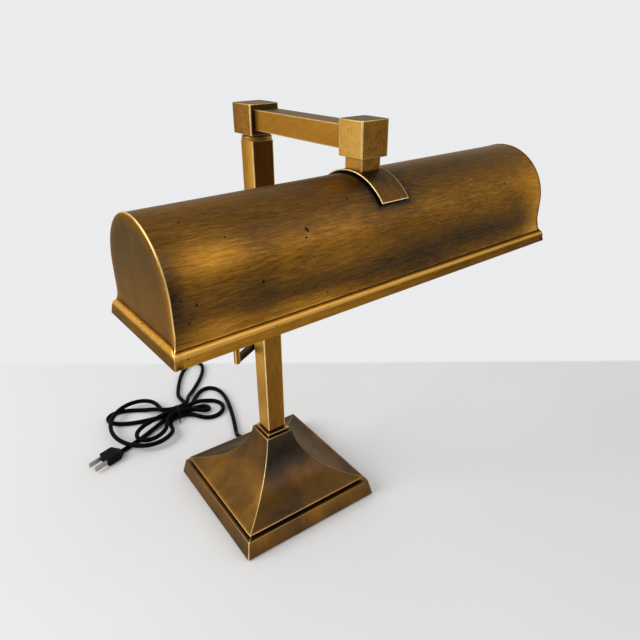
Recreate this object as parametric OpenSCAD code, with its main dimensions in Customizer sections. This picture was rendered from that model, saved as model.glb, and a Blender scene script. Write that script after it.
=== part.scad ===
// Bankers lamp: square base, square column, swinging arm and a long half-round shade.
// The origin is the middle of the base on the table, +Z is up and the arm reaches towards -Y.

/* [Base] */
// Width of the square base at its lower edge
base_w = 166.5; // [150:0.5:190]
// How far the skirt's faces lean in over their height
skirt_lean = 4.15; // [2:0.05:7]
// Height of the skirt's upper edge above the table
skirt_h = 20.3; // [18:0.1:28]
// Thickness of the skirt's wall, measured at its upper edge
skirt_wall = 6; // [4:0.5:9]
// Thickness of the skirt's top web
skirt_web = 3; // [2:0.5:5]
// Height of the skirt's lower edge above the table
skirt_lift = 1; // [0.5:0.1:1.5]
// Thickness of the felt pad
felt_t = 2; // [1.6:0.1:3]
// Thickness of the bottom plate
plate_t = 2; // [1.5:0.5:3]
// Diameter of the bottom plate's screws
screw_d = 4; // [3:0.5:5]
// Gap between the iron weight and the skirt's walls
weight_gap = 3.1; // [2:0.1:6]
// How far the weight's raised middle stands in from the crown's edge
boss_in = 40; // [38:1:50]
// Height of the weight's raised middle above the skirt's web
weight_boss_h = 11; // [6:0.5:11]
// Height of the dark groove between the skirt and the crown
groove_h = 3.5; // [2:0.1:6]
// Depth of that groove
groove_in = 3.5; // [2:0.1:6]

/* [Crown] */
// How far the crown's lower edge stands in from the skirt's upper edge
crown_ledge = 3.6; // [2:0.1:6]
// Height of the crown's square lower edge
crown_edge_h = 1.2; // [0.6:0.1:3]
// Thickness of the crown's wall
crown_wall = 3; // [2:0.5:4]
// Depth of the crown's hollow curve below a straight slope
crown_sag = 14.5; // [8:0.5:16]
// How far the crown's neck stands out from the collar plate
neck_out = 3; // [1.5:0.1:6]
// Height of the neck's rim above the table
neck_z = 82.8; // [76:0.2:100]
// Thickness of the crown's top
neck_web = 6; // [4:0.5:9]
// How far the collar plate stands out from the column
collar_out = 2.8; // [1.5:0.1:5]
// Thickness of the collar plate
collar_t = 1.8; // [1.2:0.1:3]
// Height of the shadow gap under the collar plate
collar_gap = 1.5; // [1:0.1:3]
// Height of the shadow gap between the collar plate and the column
column_gap = 2.7; // [1.5:0.1:4]

/* [Column] */
// Width of the square column
column_w = 21.4; // [19:0.2:24]
// Thickness of the column's wall
column_wall = 1.5; // [1:0.1:2]
// Height of the column's top above the table
column_z = 401.9; // [340:0.1:460]
// Length of the plugs in the column's ends
plug_len = 15; // [10:1:25]
// Diameter of the threaded pipes
pipe_d = 10; // [8:0.5:11]
// Bore of the threaded pipes
pipe_bore = 7; // [6.2:0.1:7.5]
// Diameter of the wires
wire_d = 5.4; // [4:0.1:6]
// Thickness of the nuts
nut_t = 4; // [3:0.5:6]
// Width of the nuts across their flats
nut_af = 14; // [13:0.5:15]
// Thickness of the washers
washer_t = 1.2; // [0.8:0.1:2]
// Diameter of the washers
washer_d = 16; // [15:0.5:17]

/* [Arm] */
// Angle that the arm is swung from straight ahead
rest_swing = 2.8; // [-20:0.1:20]
// Diameter of the swivel ring
ring_d = 27; // [24:0.5:28]
// Height of the swivel ring
ring_h = 5.3; // [3:0.1:8]
// Width of the rear knuckle block
rear_w = 29; // [27:0.5:34]
// Width of the front knuckle block
front_w = 25; // [24:0.5:30]
// Height of both knuckle blocks
block_h = 25.5; // [24:0.5:30]
// Thickness of the blocks' floors
block_floor = 5; // [4:0.5:7]
// Gap around the nut in each block
room_gap = 0.9; // [0.5:0.1:1.2]
// Border of the blocks' top around the cover plates
cover_border = 2.2; // [1.5:0.1:3]
// Thickness of the cover plates
cover_t = 1.8; // [1:0.1:2.5]
// Distance between the two swivel axes
arm_reach = 140.6; // [120:0.2:200]
// Width of the arm
arm_w = 20.4; // [16:0.2:22]
// Height of the arm
arm_h = 17; // [14:0.5:18]
// Thickness of the arm's wall
arm_wall = 1.6; // [1:0.1:2.5]
// Depth that the arm's ends go into the blocks
tenon = 1.5; // [1:0.1:2]

/* [Shade] */
// Length of the shade over its rim
shade_l = 355.6; // [300:0.2:420]
// Width of the rim's flat ledge outside the cove
rim_ledge = 0.7; // [0.3:0.1:4]
// How far the rim's outer face leans in over its height
rim_lean = 1.5; // [0.5:0.1:3]
// Height of the rim
rim_h = 9.4; // [6:0.1:12]
// Thickness of the rim rails
rim_t = 4.5; // [3:0.1:6]
// Radius of the round top of the shade
dome_r = 42.3; // [38:0.1:50]
// Height of the straight sides between the dome and the cove
side_h = 15.9; // [10:0.1:30]
// Radius of the hollow cove above the rim
cove_r = 14.5; // [8:0.5:24]
// How far the cove flares out over its height
cove_out = 4; // [2:0.1:6]
// Thickness of the shade's sheet
sheet_t = 1.2; // [0.8:0.1:2]
// Thickness of the end caps
cap_t = 1.6; // [1:0.1:2.5]
// Lip of the end caps over the barrel
cap_lip = 0.5; // [0.3:0.1:1]
// How far the end caps stand in from the ends of the rim
cap_in = 4.2; // [2:0.1:6]
// How far the saddle sits from the middle of the shade
saddle_off = 1.5; // [0:0.1:10]
// Width of the saddle strap
strap_w = 25.4; // [20:0.2:34]
// Thickness of the saddle strap
strap_t = 2; // [1.2:0.1:3]
// Gap between the saddle strap and the dome
strap_gap = 0.5; // [0.3:0.1:0.9]
// Angle of the saddle strap to each side of the top
strap_angle = 52; // [35:1:65]
// Width of the square shade neck
shade_neck_w = 18; // [16:0.2:20]
// Height of the shade neck above the saddle strap
shade_neck_h = 8.2; // [6:0.1:14]

/* [Lamps] */
// Drop of the bulbs' axis below the dome's centre
bulb_drop = 0; // [-4:0.5:6]
// Diameter of the bulbs
bulb_d = 31.8; // [26:0.2:34]
// Gap between a bulb's tip and the end cap
bulb_gap = 8.5; // [5:0.5:30]
// Diameter of the bulbs' screw caps
bulb_cap_d = 26; // [24:0.2:27]
// Length of the bulbs' screw caps
bulb_cap_l = 25; // [20:1:28]
// Thickness of the sockets' walls
socket_wall = 1.7; // [1.2:0.1:3]
// Length of the sockets
socket_l = 36; // [32:1:40]
// Width of the block that carries the sockets
cluster_w = 26; // [22:1:30]

/* [Switch] */
// Height of the switch's axis above the table
switch_z = 188.8; // [150:0.2:250]
// Diameter of the switch's threaded bush
bush_d = 9.5; // [8:0.1:11]
// Diameter of the switch's spindle
spindle_d = 6; // [4:0.5:6.5]
// Length of the lever from the axis to the middle of its grip
lever_len = 32; // [22:0.5:45]
// Width of the lever
lever_w = 7; // [5:0.5:9]
// Thickness of the lever
lever_t = 5; // [4:0.5:7]
// Angle of the lever below level when the lamp is off
lever_drop = 28; // [0:1:30]
// Length of the upright grip
grip_l = 22; // [14:1:30]
// Width of the grip
grip_w = 5.5; // [4:0.5:8]

/* [Cord] */
// Width of the flat cord
cord_w = 6; // [5:0.1:6.6]
// Thickness of the flat cord
cord_t = 3; // [2.4:0.1:3.4]
// Height at which the cord leaves the base
exit_z = 10.5; // [10:0.1:11]
// Length of the plug's body
plug_l = 25; // [24:1:32]
// Width of the plug's body
plug_w = 21; // [18:0.5:24]
// Height of the plug's body
plug_h = 12; // [11:0.5:14]

/* [Hidden] */
$fn = 72;
// Radial clearance of turning and screwed fits
run = 0.05;
// Clearance on each side of pieces that are plugged in
slip = 0.15;
// Radial clearance of holes that only let something pass
pass = 0.3;
// Overlap that carries a cut past a face
over = 1;

// Heights in the base
plate_z = felt_t + plate_t;
web_z = skirt_h - skirt_web;
crown_z = skirt_h + groove_h;
curve_z = crown_z + crown_edge_h;
weight_z = skirt_h + weight_boss_h;
skirt_top_w = base_w - 2 * skirt_lean;
skirt_in_w = skirt_top_w - 2 * skirt_wall;
weight_w = skirt_in_w - 2 * weight_gap;
crown_w = skirt_top_w - 2 * crown_ledge;
weight_boss_w = crown_w - 2 * boss_in;
collar_w = column_w + 2 * collar_out;
neck_w = collar_w + 2 * neck_out;
groove_w = crown_w - 2 * groove_in;
screw_at = weight_w / 2 - 2.5 * screw_d;
screw_head_d = 2 * screw_d;
screw_head_h = plate_t * 0.6;
screw_len = plate_t + 2 * screw_d;

// Base pipe, with its nut and washer above the wire that runs in from the cord
pipe_z = exit_z + wire_d / 2 + 0.5;
base_nut_z = pipe_z + 1;
base_washer_z = base_nut_z + nut_t;
recess_z = base_washer_z + washer_t;
recess_d = washer_d + 8;

// The crown's hollow curve is an arc through its lower edge and its neck
curve_run = [crown_w / 2 - neck_w / 2, neck_z - curve_z];
curve_chord = norm(curve_run);
curve_r = curve_chord * curve_chord / (8 * crown_sag) + crown_sag / 2;
curve_out = [curve_run[1], curve_run[0]] / curve_chord;
curve_mid = [(crown_w + neck_w) / 4, (neck_z + curve_z) / 2];
curve_c = curve_mid + (curve_r - crown_sag) * curve_out;

// Collar and column
collar_z = neck_z + collar_gap;
collar_top_z = collar_z + collar_t;
foot_z = collar_top_z + column_gap;
column_in = column_w - 2 * column_wall;
plug_fit_w = column_in - 2 * slip;
shoulder_w = column_w - column_wall;
pipe_top_z = foot_z + plug_len - 3;

// Arm and its two blocks
ring_top_z = column_z + ring_h;
block_z = ring_top_z + run;
block_top_z = block_z + block_h;
room_z = block_z + block_floor;
washer_z = room_z + run;
nut_z = washer_z + washer_t;
nut_room_d = max(nut_af / cos(30), washer_d) + 2 * room_gap;
cover_z = block_top_z - cover_t;
post_top_z = nut_z + nut_t + 1;
post_low_z = column_z - plug_len + 2;
arm_z = block_z + block_h / 2;
arm_wire_z = post_top_z + 0.5 + wire_d / 2;
arm_start = rear_w / 2 - tenon;
arm_end = arm_reach - front_w / 2 + tenon;
wire_gap_z = room_z - 1;

// Shade, hung from the front block
strap_r = dome_r + strap_gap + strap_t;
neck_top_z = block_z - run;
strap_top_z = neck_top_z - shade_neck_h;
dome_z = strap_top_z - strap_r;
side_z = dome_z - side_h;
cove_h = sqrt(2 * cove_out * cove_r - cove_out * cove_out);
rim_top_z = side_z - cove_h;
rim_z = rim_top_z - rim_h;
foot_half = dome_r + cove_out;
rim_w = 2 * (foot_half + rim_ledge + rim_lean);
dome_in_r = dome_r - sheet_t;
barrel_l = shade_l - 2 * (cap_in + cap_t);
inner_saddle_z = dome_z + dome_in_r - washer_d / 4;
shade_nut_z = inner_saddle_z - nut_t;
inner_saddle_d = washer_d + 2;

// Sockets and bulbs
bulb_z = dome_z - bulb_drop;
cluster_top_z = bulb_z + cluster_w / 2;
post_in = 8;
socket_x = cluster_w / 2;
socket_d = bulb_cap_d + 2 * pass + 2 * socket_wall;
mouth_x = socket_x + socket_l;
cap_x = mouth_x - bulb_cap_l;
bulb_end_x = barrel_l / 2 - saddle_off - bulb_gap;
glass_t = 0.8;
bulb_neck_l = 12;

// Switch, let into the back wall of the column
back_y = column_w / 2;
back_in_y = column_in / 2;
switch_box = [14, back_in_y + 5, 22];
switch_nut_t = 2.5;
switch_nut_af = bush_d + 4;
bush_y = back_y + switch_nut_t + 2.5;
lever_y = bush_y + 0.4;
hub_d = spindle_d + 6;
grip_x = -lever_len * cos(lever_drop);
grip_z = switch_z - lever_len * sin(lever_drop);
grip_low = 4.5;
groove_t = 1;

// Cord bushing in the skirt's back wall
function skirt_half(z) = base_w / 2 - (base_w - skirt_top_w) / 2 * (z - skirt_lift) / (skirt_h - skirt_lift);
bushing_bore = cord_w + 0.6;
bushing_d = bushing_bore + 3;
flange_d = bushing_d + 2.4;
flange_t = 2;
bushing_taper = 8;
flange_y = skirt_half(exit_z) + flange_t;
bushing_y = flange_y + bushing_taper;
wire_end_y = weight_w / 2 - 8;

// The cord lies on its edge, so its width stands upright
cord_z = cord_w / 2 + 0.1;
cord_layer = cord_w + 0.8;
tie_t = 1.1;
tie_w = 5;
tie_gap = 0.2;
tie_low = 0.2;
waist_z = tie_low + tie_t + tie_gap + cord_w / 2;

// Middle of the hank on the table, and the turn of its long axis
waist = [-42, 196];
hank_turn = -6;
slot_step = 0.7 * cord_t;
slot_mid = 3;
straight = 3;

// Loops in the order the cord runs: side, slot in and out, angle in and out, reach, layer
hank_loops = [
    [-1, 4, 5, 6, 38, 98, 0],
    [1, 5, 6, 49, 72, 140, 0],
    [-1, 6, 0, 58, -66, 92, 1],
    [1, 0, 3, -40, 24, 64, 0],
    [-1, 3, 1, -8, -52, 74, 1],
    [1, 1, 2, -26, 14, 46, 0]
];
loop_rings = 24;

// Lead from the bushing over the table to the hank, as points on the table
lead_spots = [[6, 112], [16, 138], [28, 176], [33, 204], [31, 224], [21, 235], [7, 231]];

// Rear of the plug on the table, and the way its blades point
plug_spot = [-134, 163];
plug_turn = 198.5;
plug_rear_w = 12;
plug_taper = 9;
blade = [17.5, 1.5, 6.3];
blade_gap = 12.7;

// Shared shapes

// A square block centred on the Z axis between two heights
module square_block(w, z0, z1) {
    translate([-w / 2, -w / 2, z0]) cube([w, w, z1 - z0]);
}

// A round rod on the Z axis between two heights
module rod(d, z0, z1) {
    translate([0, 0, z0]) cylinder(d = d, h = z1 - z0);
}

// A washer, ring or pipe on the Z axis between two heights
module ring(d, bore, z0, z1) {
    difference() {
        rod(d, z0, z1);
        rod(bore, z0 - over, z1 + over);
    }
}

// A six-sided nut for the threaded pipes
module pipe_nut(z0) {
    difference() {
        translate([0, 0, z0]) cylinder(d = nut_af / cos(30), h = nut_t, $fn = 6);
        rod(pipe_d + 2 * run, z0 - over, z0 + nut_t + over);
    }
}

// A round rod along Y between two places
module rod_y(d, y0, y1) {
    translate([0, y0, 0]) rotate([-90, 0, 0]) cylinder(d = d, h = y1 - y0);
}

// A round rod along X between two places
module rod_x(d, x0, x1) {
    translate([x0, 0, 0]) rotate([0, 90, 0]) cylinder(d = d, h = x1 - x0);
}

// An outline in Y and Z, drawn out along X and centred
module along_x(l) {
    rotate([90, 0, 90]) linear_extrude(height = l, center = true) children();
}

// An outline in X and Z, drawn out along Y and centred
module along_y(l) {
    rotate([90, 0, 0]) linear_extrude(height = l, center = true) children();
}

// A square-plan solid whose side view is the given outline from the front and from the side
module square_plan(w) {
    intersection() {
        along_x(w) children();
        along_y(w) children();
    }
}

// Everything above the column turns with the arm
module swung() {
    rotate([0, 0, rest_swing]) children();
}

// The shade's axis is the front swivel
module at_shade() {
    swung() translate([0, -arm_reach, 0]) children();
}

// The shade's own middle, beside the saddle
module at_barrel() {
    at_shade() translate([-saddle_off, 0, 0]) children();
}

// The switch's axis, which runs along Y
module at_switch() {
    translate([0, 0, switch_z]) children();
}

// Base

module skirt_side() {
    polygon([
        [-base_w / 2, skirt_lift], [base_w / 2, skirt_lift],
        [skirt_top_w / 2, skirt_h], [-skirt_top_w / 2, skirt_h]
    ]);
}

module skirt_block() {
    square_plan(base_w + over) skirt_side();
}

module base_felt() {
    color("darkgreen") square_block(skirt_in_w - 4 * pass, 0, felt_t);
}

// The four screw places under the weight
module screw_places() {
    for (x = [-screw_at, screw_at], y = [-screw_at, screw_at]) translate([x, y, 0]) children();
}

module base_plate() {
    color("gray") difference() {
        square_block(skirt_in_w - 2 * pass, felt_t, plate_z);
        screw_places() {
            rod(screw_d + 2 * pass, felt_t - over, plate_z + over);
            rod(screw_head_d + 2 * pass, felt_t - over, felt_t + screw_head_h);
        }
    }
}

module plate_screws() {
    color("silver") screw_places() {
        rod(screw_d, felt_t, felt_t + screw_len);
        rod(screw_head_d, felt_t, felt_t + screw_head_h);
    }
}

module base_weight() {
    slot_w = max(cord_w, wire_d) + 2 * pass;
    color("dimgray") difference() {
        union() {
            square_block(weight_w, plate_z, web_z);
            square_block(weight_boss_w, web_z - over, weight_z);
        }
        rod(recess_d, plate_z - over, recess_z);
        rod(pipe_d + 2 * pass, recess_z - over, weight_z + over);
        translate([-slot_w / 2, 0, plate_z - over])
            cube([slot_w, weight_w, exit_z + slot_w / 2 - plate_z + over]);
        screw_places() rod(screw_d + 2 * run, plate_z - over, felt_t + screw_len + over);
    }
}

module base_skirt() {
    color("saddlebrown") difference() {
        skirt_block();
        square_block(skirt_in_w, skirt_lift - over, web_z);
        square_block(weight_boss_w + 10 * pass, web_z - over, skirt_h + over);
        translate([0, 0, exit_z]) rod_y(bushing_d + 2 * run, skirt_in_w / 2 - over, base_w / 2 + over);
    }
}

// Side view of the crown, or of its hollow, with the wall taken off the outline
module crown_side(wall, z0, z1) {
    difference() {
        translate([-crown_w / 2 + wall, z0]) square([crown_w - 2 * wall, z1 - z0]);
        for (s = [-1, 1]) translate([s * curve_c[0], curve_c[1]]) circle(r = curve_r + wall);
    }
}

module base_crown() {
    color("saddlebrown") difference() {
        union() {
            square_plan(crown_w + over) crown_side(0, crown_z, neck_z);
            square_block(groove_w, skirt_h, crown_z + crown_edge_h / 2);
        }
        square_plan(crown_w + over) crown_side(crown_wall, crown_z + crown_edge_h / 2, neck_z - neck_web);
        square_block(groove_w - 2 * crown_wall, skirt_h - over, curve_z);
        rod(pipe_d + 2 * pass, neck_z - neck_web - over, neck_z + over);
    }
}

module neck_collar() {
    color("saddlebrown") difference() {
        union() {
            square_block(shoulder_w, neck_z, foot_z);
            square_block(collar_w, collar_z, collar_top_z);
            square_block(plug_fit_w, foot_z - over, foot_z + plug_len);
        }
        rod(pipe_d + 2 * run, neck_z - over, foot_z + plug_len + over);
    }
}

module base_pipe() {
    color("gold") ring(pipe_d, pipe_bore, pipe_z, pipe_top_z);
}

module base_nut() {
    color("silver") pipe_nut(base_nut_z);
}

module base_washer() {
    color("silver") ring(washer_d, pipe_d + 2 * run, base_washer_z, recess_z);
}

// Column and its swivel

module column() {
    color("darkgoldenrod") difference() {
        square_block(column_w, foot_z, column_z);
        square_block(column_in, foot_z - over, column_z + over);
        at_switch() rod_y(bush_d + 2 * run, 0, back_y + over);
    }
}

module column_head() {
    color("darkgoldenrod") difference() {
        square_block(plug_fit_w, column_z - plug_len, column_z);
        rod(pipe_d + 2 * run, column_z - plug_len - over, column_z + over);
    }
}

module swivel_ring() {
    color("goldenrod") ring(ring_d, pipe_d + 2 * run, column_z, ring_top_z);
}

module swivel_post() {
    color("gold") ring(pipe_d, pipe_bore, post_low_z, post_top_z);
}

module swivel_washer() {
    color("silver") ring(washer_d, pipe_d + 2 * run, washer_z, nut_z);
}

module swivel_nut() {
    color("silver") pipe_nut(nut_z);
}

module lower_wire() {
    color("black") union() {
        translate([0, 0, exit_z]) rod_y(wire_d, 0, wire_end_y);
        translate([0, 0, exit_z]) sphere(d = wire_d);
        rod(wire_d, exit_z, switch_z - switch_box[2] / 2);
    }
}

module upper_wire() {
    color("black") rod(wire_d, switch_z + switch_box[2] / 2, wire_gap_z);
}

// Switch

module switch_body() {
    corner = [-switch_box[0] / 2, back_in_y - switch_box[1], -switch_box[2] / 2];
    color("dimgray") at_switch() translate(corner) cube(switch_box);
}

module switch_bush() {
    color("gold") at_switch() difference() {
        rod_y(bush_d, back_in_y, bush_y);
        rod_y(spindle_d + 2 * run, back_in_y - over, bush_y + over);
    }
}

module switch_nut() {
    color("gold") at_switch() difference() {
        translate([0, back_y, 0]) rotate([-90, 0, 0])
            cylinder(d = switch_nut_af / cos(30), h = switch_nut_t, $fn = 6);
        rod_y(bush_d + 2 * run, back_y - over, bush_y);
    }
}

module switch_spindle() {
    color("silver") at_switch() rod_y(spindle_d, back_in_y + 0.5, lever_y + lever_t);
}

// The lever's arm and hub, with a groove along its face and its end cut to the upright grip
module switch_lever() {
    color("dimgray") difference() {
        at_switch() difference() {
            union() {
                rod_y(hub_d, lever_y, lever_y + lever_t);
                rotate([0, -lever_drop, 0]) translate([-lever_len, lever_y, -lever_w / 2])
                    cube([lever_len, lever_t, lever_w]);
            }
            rod_y(spindle_d + 2 * run, lever_y - over, lever_y + lever_t + over);
            rotate([0, -lever_drop, 0]) for (y = [lever_y, lever_y + lever_t])
                translate([-lever_len, y - groove_t, -groove_t])
                    cube([lever_len - hub_d / 2, 2 * groove_t, 2 * groove_t]);
        }
        translate([grip_x - grip_w / 2 - lever_len, lever_y - over, grip_z - grip_l])
            cube([grip_w + lever_len, lever_t + 2 * over, 2 * grip_l]);
    }
}

module switch_grip() {
    color("goldenrod") translate([grip_x, lever_y, 0]) union() {
        translate([0, 0, grip_z - grip_low + grip_w / 2]) rod_y(grip_w, 0, lever_t);
        translate([-grip_w / 2, 0, grip_z - grip_low + grip_w / 2])
            cube([grip_w, lever_t, grip_l - grip_w / 2]);
    }
}

// Arm

// A knuckle block, open above for its nut, with a pocket for the arm's end on the side given
module knuckle(w, side) {
    cover_w = w - 2 * cover_border;
    difference() {
        square_block(w, block_z, block_top_z);
        rod(pipe_d + 2 * run, block_z - over, room_z + over);
        rod(nut_room_d, room_z, block_top_z);
        square_block(cover_w, cover_z, block_top_z + over);
        translate([-arm_w / 2 - slip, side > 0 ? w / 2 - tenon : -w / 2 - over, arm_z - arm_h / 2 - slip])
            cube([arm_w + 2 * slip, tenon + over, arm_h + 2 * slip]);
        translate([0, 0, arm_wire_z]) rod_y(wire_d + 2 * pass, side > 0 ? 0 : -w / 2, side > 0 ? w / 2 : 0);
    }
}

module knuckle_cover(w) {
    square_block(w - 2 * cover_border - 2 * slip, cover_z, block_top_z);
}

module rear_block() {
    color("darkgoldenrod") swung() knuckle(rear_w, -1);
}

module rear_cover() {
    color("darkgoldenrod") swung() knuckle_cover(rear_w);
}

module front_block() {
    color("darkgoldenrod") at_shade() knuckle(front_w, 1);
}

module front_cover() {
    color("darkgoldenrod") at_shade() knuckle_cover(front_w);
}

module arm_tube() {
    color("darkgoldenrod") swung() difference() {
        translate([-arm_w / 2, -arm_end, arm_z - arm_h / 2]) cube([arm_w, arm_end - arm_start, arm_h]);
        translate([-arm_w / 2 + arm_wall, -arm_end - over, arm_z - arm_h / 2 + arm_wall])
            cube([arm_w - 2 * arm_wall, arm_end - arm_start + 2 * over, arm_h - 2 * arm_wall]);
    }
}

module arm_wire() {
    color("black") swung() union() {
        translate([0, 0, arm_wire_z]) rod_y(wire_d, -arm_reach, 0);
        for (y = [-arm_reach, 0]) translate([0, y, 0]) {
            translate([0, 0, arm_wire_z]) sphere(d = wire_d);
            rod(wire_d, wire_gap_z + 0.5, arm_wire_z);
        }
    }
}

// Shade and what carries it

module shade_neck() {
    color("darkgoldenrod") at_shade() difference() {
        square_block(shade_neck_w, dome_z, neck_top_z);
        translate([0, 0, dome_z]) rod_x(2 * strap_r, -shade_neck_w, shade_neck_w);
        rod(pipe_d + 2 * pass, dome_z, block_z + over);
    }
}

module shade_post() {
    color("gold") at_shade() ring(pipe_d, pipe_bore, cluster_top_z - post_in, post_top_z);
}

module post_washer() {
    color("silver") at_shade() ring(washer_d, pipe_d + 2 * run, washer_z, nut_z);
}

module post_nut() {
    color("silver") at_shade() pipe_nut(nut_z);
}

module saddle_strap() {
    reach = 2 * strap_r;
    color("darkgoldenrod") at_shade() difference() {
        intersection() {
            translate([0, 0, dome_z]) rod_x(2 * strap_r, -strap_w / 2, strap_w / 2);
            along_x(strap_w) translate([0, dome_z]) polygon([
                [0, 0], [reach * sin(strap_angle), reach * cos(strap_angle)],
                [0, 2 * reach], [-reach * sin(strap_angle), reach * cos(strap_angle)]
            ]);
        }
        translate([0, 0, dome_z]) rod_x(2 * (strap_r - strap_t), -strap_w, strap_w);
        rod(pipe_d + 2 * pass, dome_z, block_z);
    }
}

module inner_saddle() {
    color("silver") at_shade() difference() {
        intersection() {
            rod(inner_saddle_d, inner_saddle_z, dome_z + dome_r);
            translate([0, 0, dome_z]) rod_x(2 * (dome_in_r - run), -inner_saddle_d, inner_saddle_d);
        }
        rod(pipe_d + 2 * run, inner_saddle_z - over, dome_z + dome_r);
    }
}

module shade_nut() {
    color("silver") at_shade() pipe_nut(shade_nut_z);
}

// End view of the barrel: a dome on straight sides with a cove below
module barrel_end(r, cove) {
    room = foot_half - r + over;
    translate([0, dome_z]) intersection() {
        circle(r = r);
        translate([-r, 0]) square([2 * r, r]);
    }
    difference() {
        translate([-foot_half, rim_top_z]) square([2 * foot_half, dome_z - rim_top_z]);
        for (s = [-1, 1]) {
            translate([s * (dome_r + cove_r), side_z]) circle(r = cove);
            translate([s > 0 ? r : -r - room, side_z]) square([room, side_h + over]);
        }
    }
}

module shade_barrel() {
    color("peru") difference() {
        at_barrel() along_x(barrel_l) difference() {
            barrel_end(dome_r, cove_r);
            barrel_end(dome_in_r, cove_r + sheet_t);
        }
        at_shade() rod(pipe_d + 2 * pass, dome_z, block_z);
    }
}

// End view of the whole rim, with its leaning faces
module rim_end(w) {
    polygon([
        [-w / 2, rim_z], [w / 2, rim_z],
        [w / 2 - rim_lean, rim_top_z], [-w / 2 + rim_lean, rim_top_z]
    ]);
}

// The right-hand end cap: the barrel's end plate and its share of the rim, with a cove between them
module end_cap() {
    ledge = cap_in - rim_lean - 0.4;
    face_x = shade_l / 2 - cap_in;
    union() {
        translate([face_x - cap_t / 2, 0, 0]) along_x(cap_t) barrel_end(dome_r + cap_lip, cove_r - cap_lip);
        intersection() {
            along_x(2 * shade_l) rim_end(rim_w);
            along_y(2 * rim_w) rim_end(shade_l);
            translate([face_x - cap_t, -rim_w, rim_z]) cube([cap_in + cap_t, 2 * rim_w, rim_h]);
        }
        difference() {
            translate([face_x - over / 2, -dome_r, rim_top_z - over / 2])
                cube([ledge + over / 2, 2 * dome_r, ledge + over / 2]);
            translate([face_x + ledge, 0, rim_top_z + ledge]) rod_y(2 * ledge, -2 * dome_r, 2 * dome_r);
        }
    }
}

module end_cap_left() {
    color("peru") at_barrel() rotate([0, 0, 180]) end_cap();
}

module end_cap_right() {
    color("peru") at_barrel() end_cap();
}

// One long rail of the rim, between the end caps
module rim_rail() {
    low = rim_w / 2;
    along_x(barrel_l) polygon([
        [low, rim_z], [low - rim_lean, rim_top_z],
        [low - rim_lean - rim_t, rim_top_z], [low - rim_lean - rim_t, rim_z]
    ]);
}

module front_rail() {
    color("goldenrod") at_barrel() rotate([0, 0, 180]) rim_rail();
}

module back_rail() {
    color("goldenrod") at_barrel() rim_rail();
}

// Lamps

module at_bulb(side) {
    at_shade() translate([0, 0, bulb_z]) rotate([0, 0, side > 0 ? 0 : 180]) children();
}

module socket_cluster() {
    color("dimgray") at_shade() difference() {
        square_block(cluster_w, bulb_z - cluster_w / 2, cluster_top_z);
        rod(pipe_d + 2 * run, cluster_top_z - post_in, cluster_top_z + over);
    }
}

module socket() {
    difference() {
        rod_x(socket_d, socket_x, mouth_x);
        rod_x(bulb_cap_d + 2 * pass, cap_x - pass, mouth_x + over);
    }
}

module bulb_cap() {
    rod_x(bulb_cap_d, cap_x, mouth_x);
}

// Half section of the bulb's glass, or of its hollow, with the glass taken off the outline
module bulb_half(t) {
    r = bulb_d / 2 - t;
    neck_r = bulb_cap_d / 2 - t;
    tube_end = bulb_end_x - bulb_d / 2;
    polygon([[0, mouth_x], [neck_r, mouth_x], [r, mouth_x + bulb_neck_l], [r, tube_end], [0, tube_end]]);
    translate([0, tube_end]) intersection() {
        circle(r = r);
        square([bulb_d, bulb_d]);
    }
}

module bulb() {
    rotate([0, 90, 0]) rotate_extrude() difference() {
        bulb_half(0);
        bulb_half(glass_t);
    }
}

module socket_left() {
    color("black") at_bulb(-1) socket();
}

module socket_right() {
    color("black") at_bulb(1) socket();
}

module bulb_cap_left() {
    color("silver") at_bulb(-1) bulb_cap();
}

module bulb_cap_right() {
    color("silver") at_bulb(1) bulb_cap();
}

module bulb_left() {
    color("white") at_bulb(-1) bulb();
}

module bulb_right() {
    color("white") at_bulb(1) bulb();
}

// Cord

module cord_bushing() {
    color("black") difference() {
        union() {
            difference() {
                translate([0, 0, exit_z]) union() {
                    rod_y(flange_d, skirt_in_w / 2 + over, flange_y);
                    translate([0, flange_y, 0]) rotate([-90, 0, 0])
                        cylinder(d1 = bushing_d, d2 = bushing_bore + 1.6, h = bushing_taper);
                }
                skirt_block();
            }
            translate([0, 0, exit_z]) rod_y(bushing_d, skirt_in_w / 2 - flange_t, flange_y);
        }
        translate([0, 0, exit_z]) rod_y(bushing_bore, skirt_in_w / 2 - flange_t - over, bushing_y + over);
    }
}

// Smooth steps from 0 to 1, the second one steeper in its middle
function ease(t) = let (c = min(1, max(0, t))) c * c * (3 - 2 * c);
function swing(t) = t * t * t * (10 - 15 * t + 6 * t * t);

// The strands lie side by side at the waist, in two layers
function slot_y(i) = (i - slot_mid) * slot_step;
function slot_z(i) = waist_z + (i % 2) * cord_layer;

// From the hank's own axes to the table
function on_table(p) = [
    waist[0] + p[0] * cos(hank_turn) - p[1] * sin(hank_turn),
    waist[1] + p[0] * sin(hank_turn) + p[1] * cos(hank_turn),
    p[2]
];

// One point of a loop: out to its reach and back while the angle swings from one side to the other
function loop_point(l, t) =
    let (r = l[5] * sin(180 * t),
         e = swing(t),
         a = (l[3] + (l[4] - l[3]) * e) * ease(r / 40),
         y = slot_y(l[1]) + (slot_y(l[2]) - slot_y(l[1])) * e,
         z0 = slot_z(t < 0.5 ? l[1] : l[2]),
         z1 = cord_z + l[6] * cord_layer)
    on_table([l[0] * r * cos(a), y + r * sin(a), z0 + (z1 - z0) * ease((r - 16) / 36)]);

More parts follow.
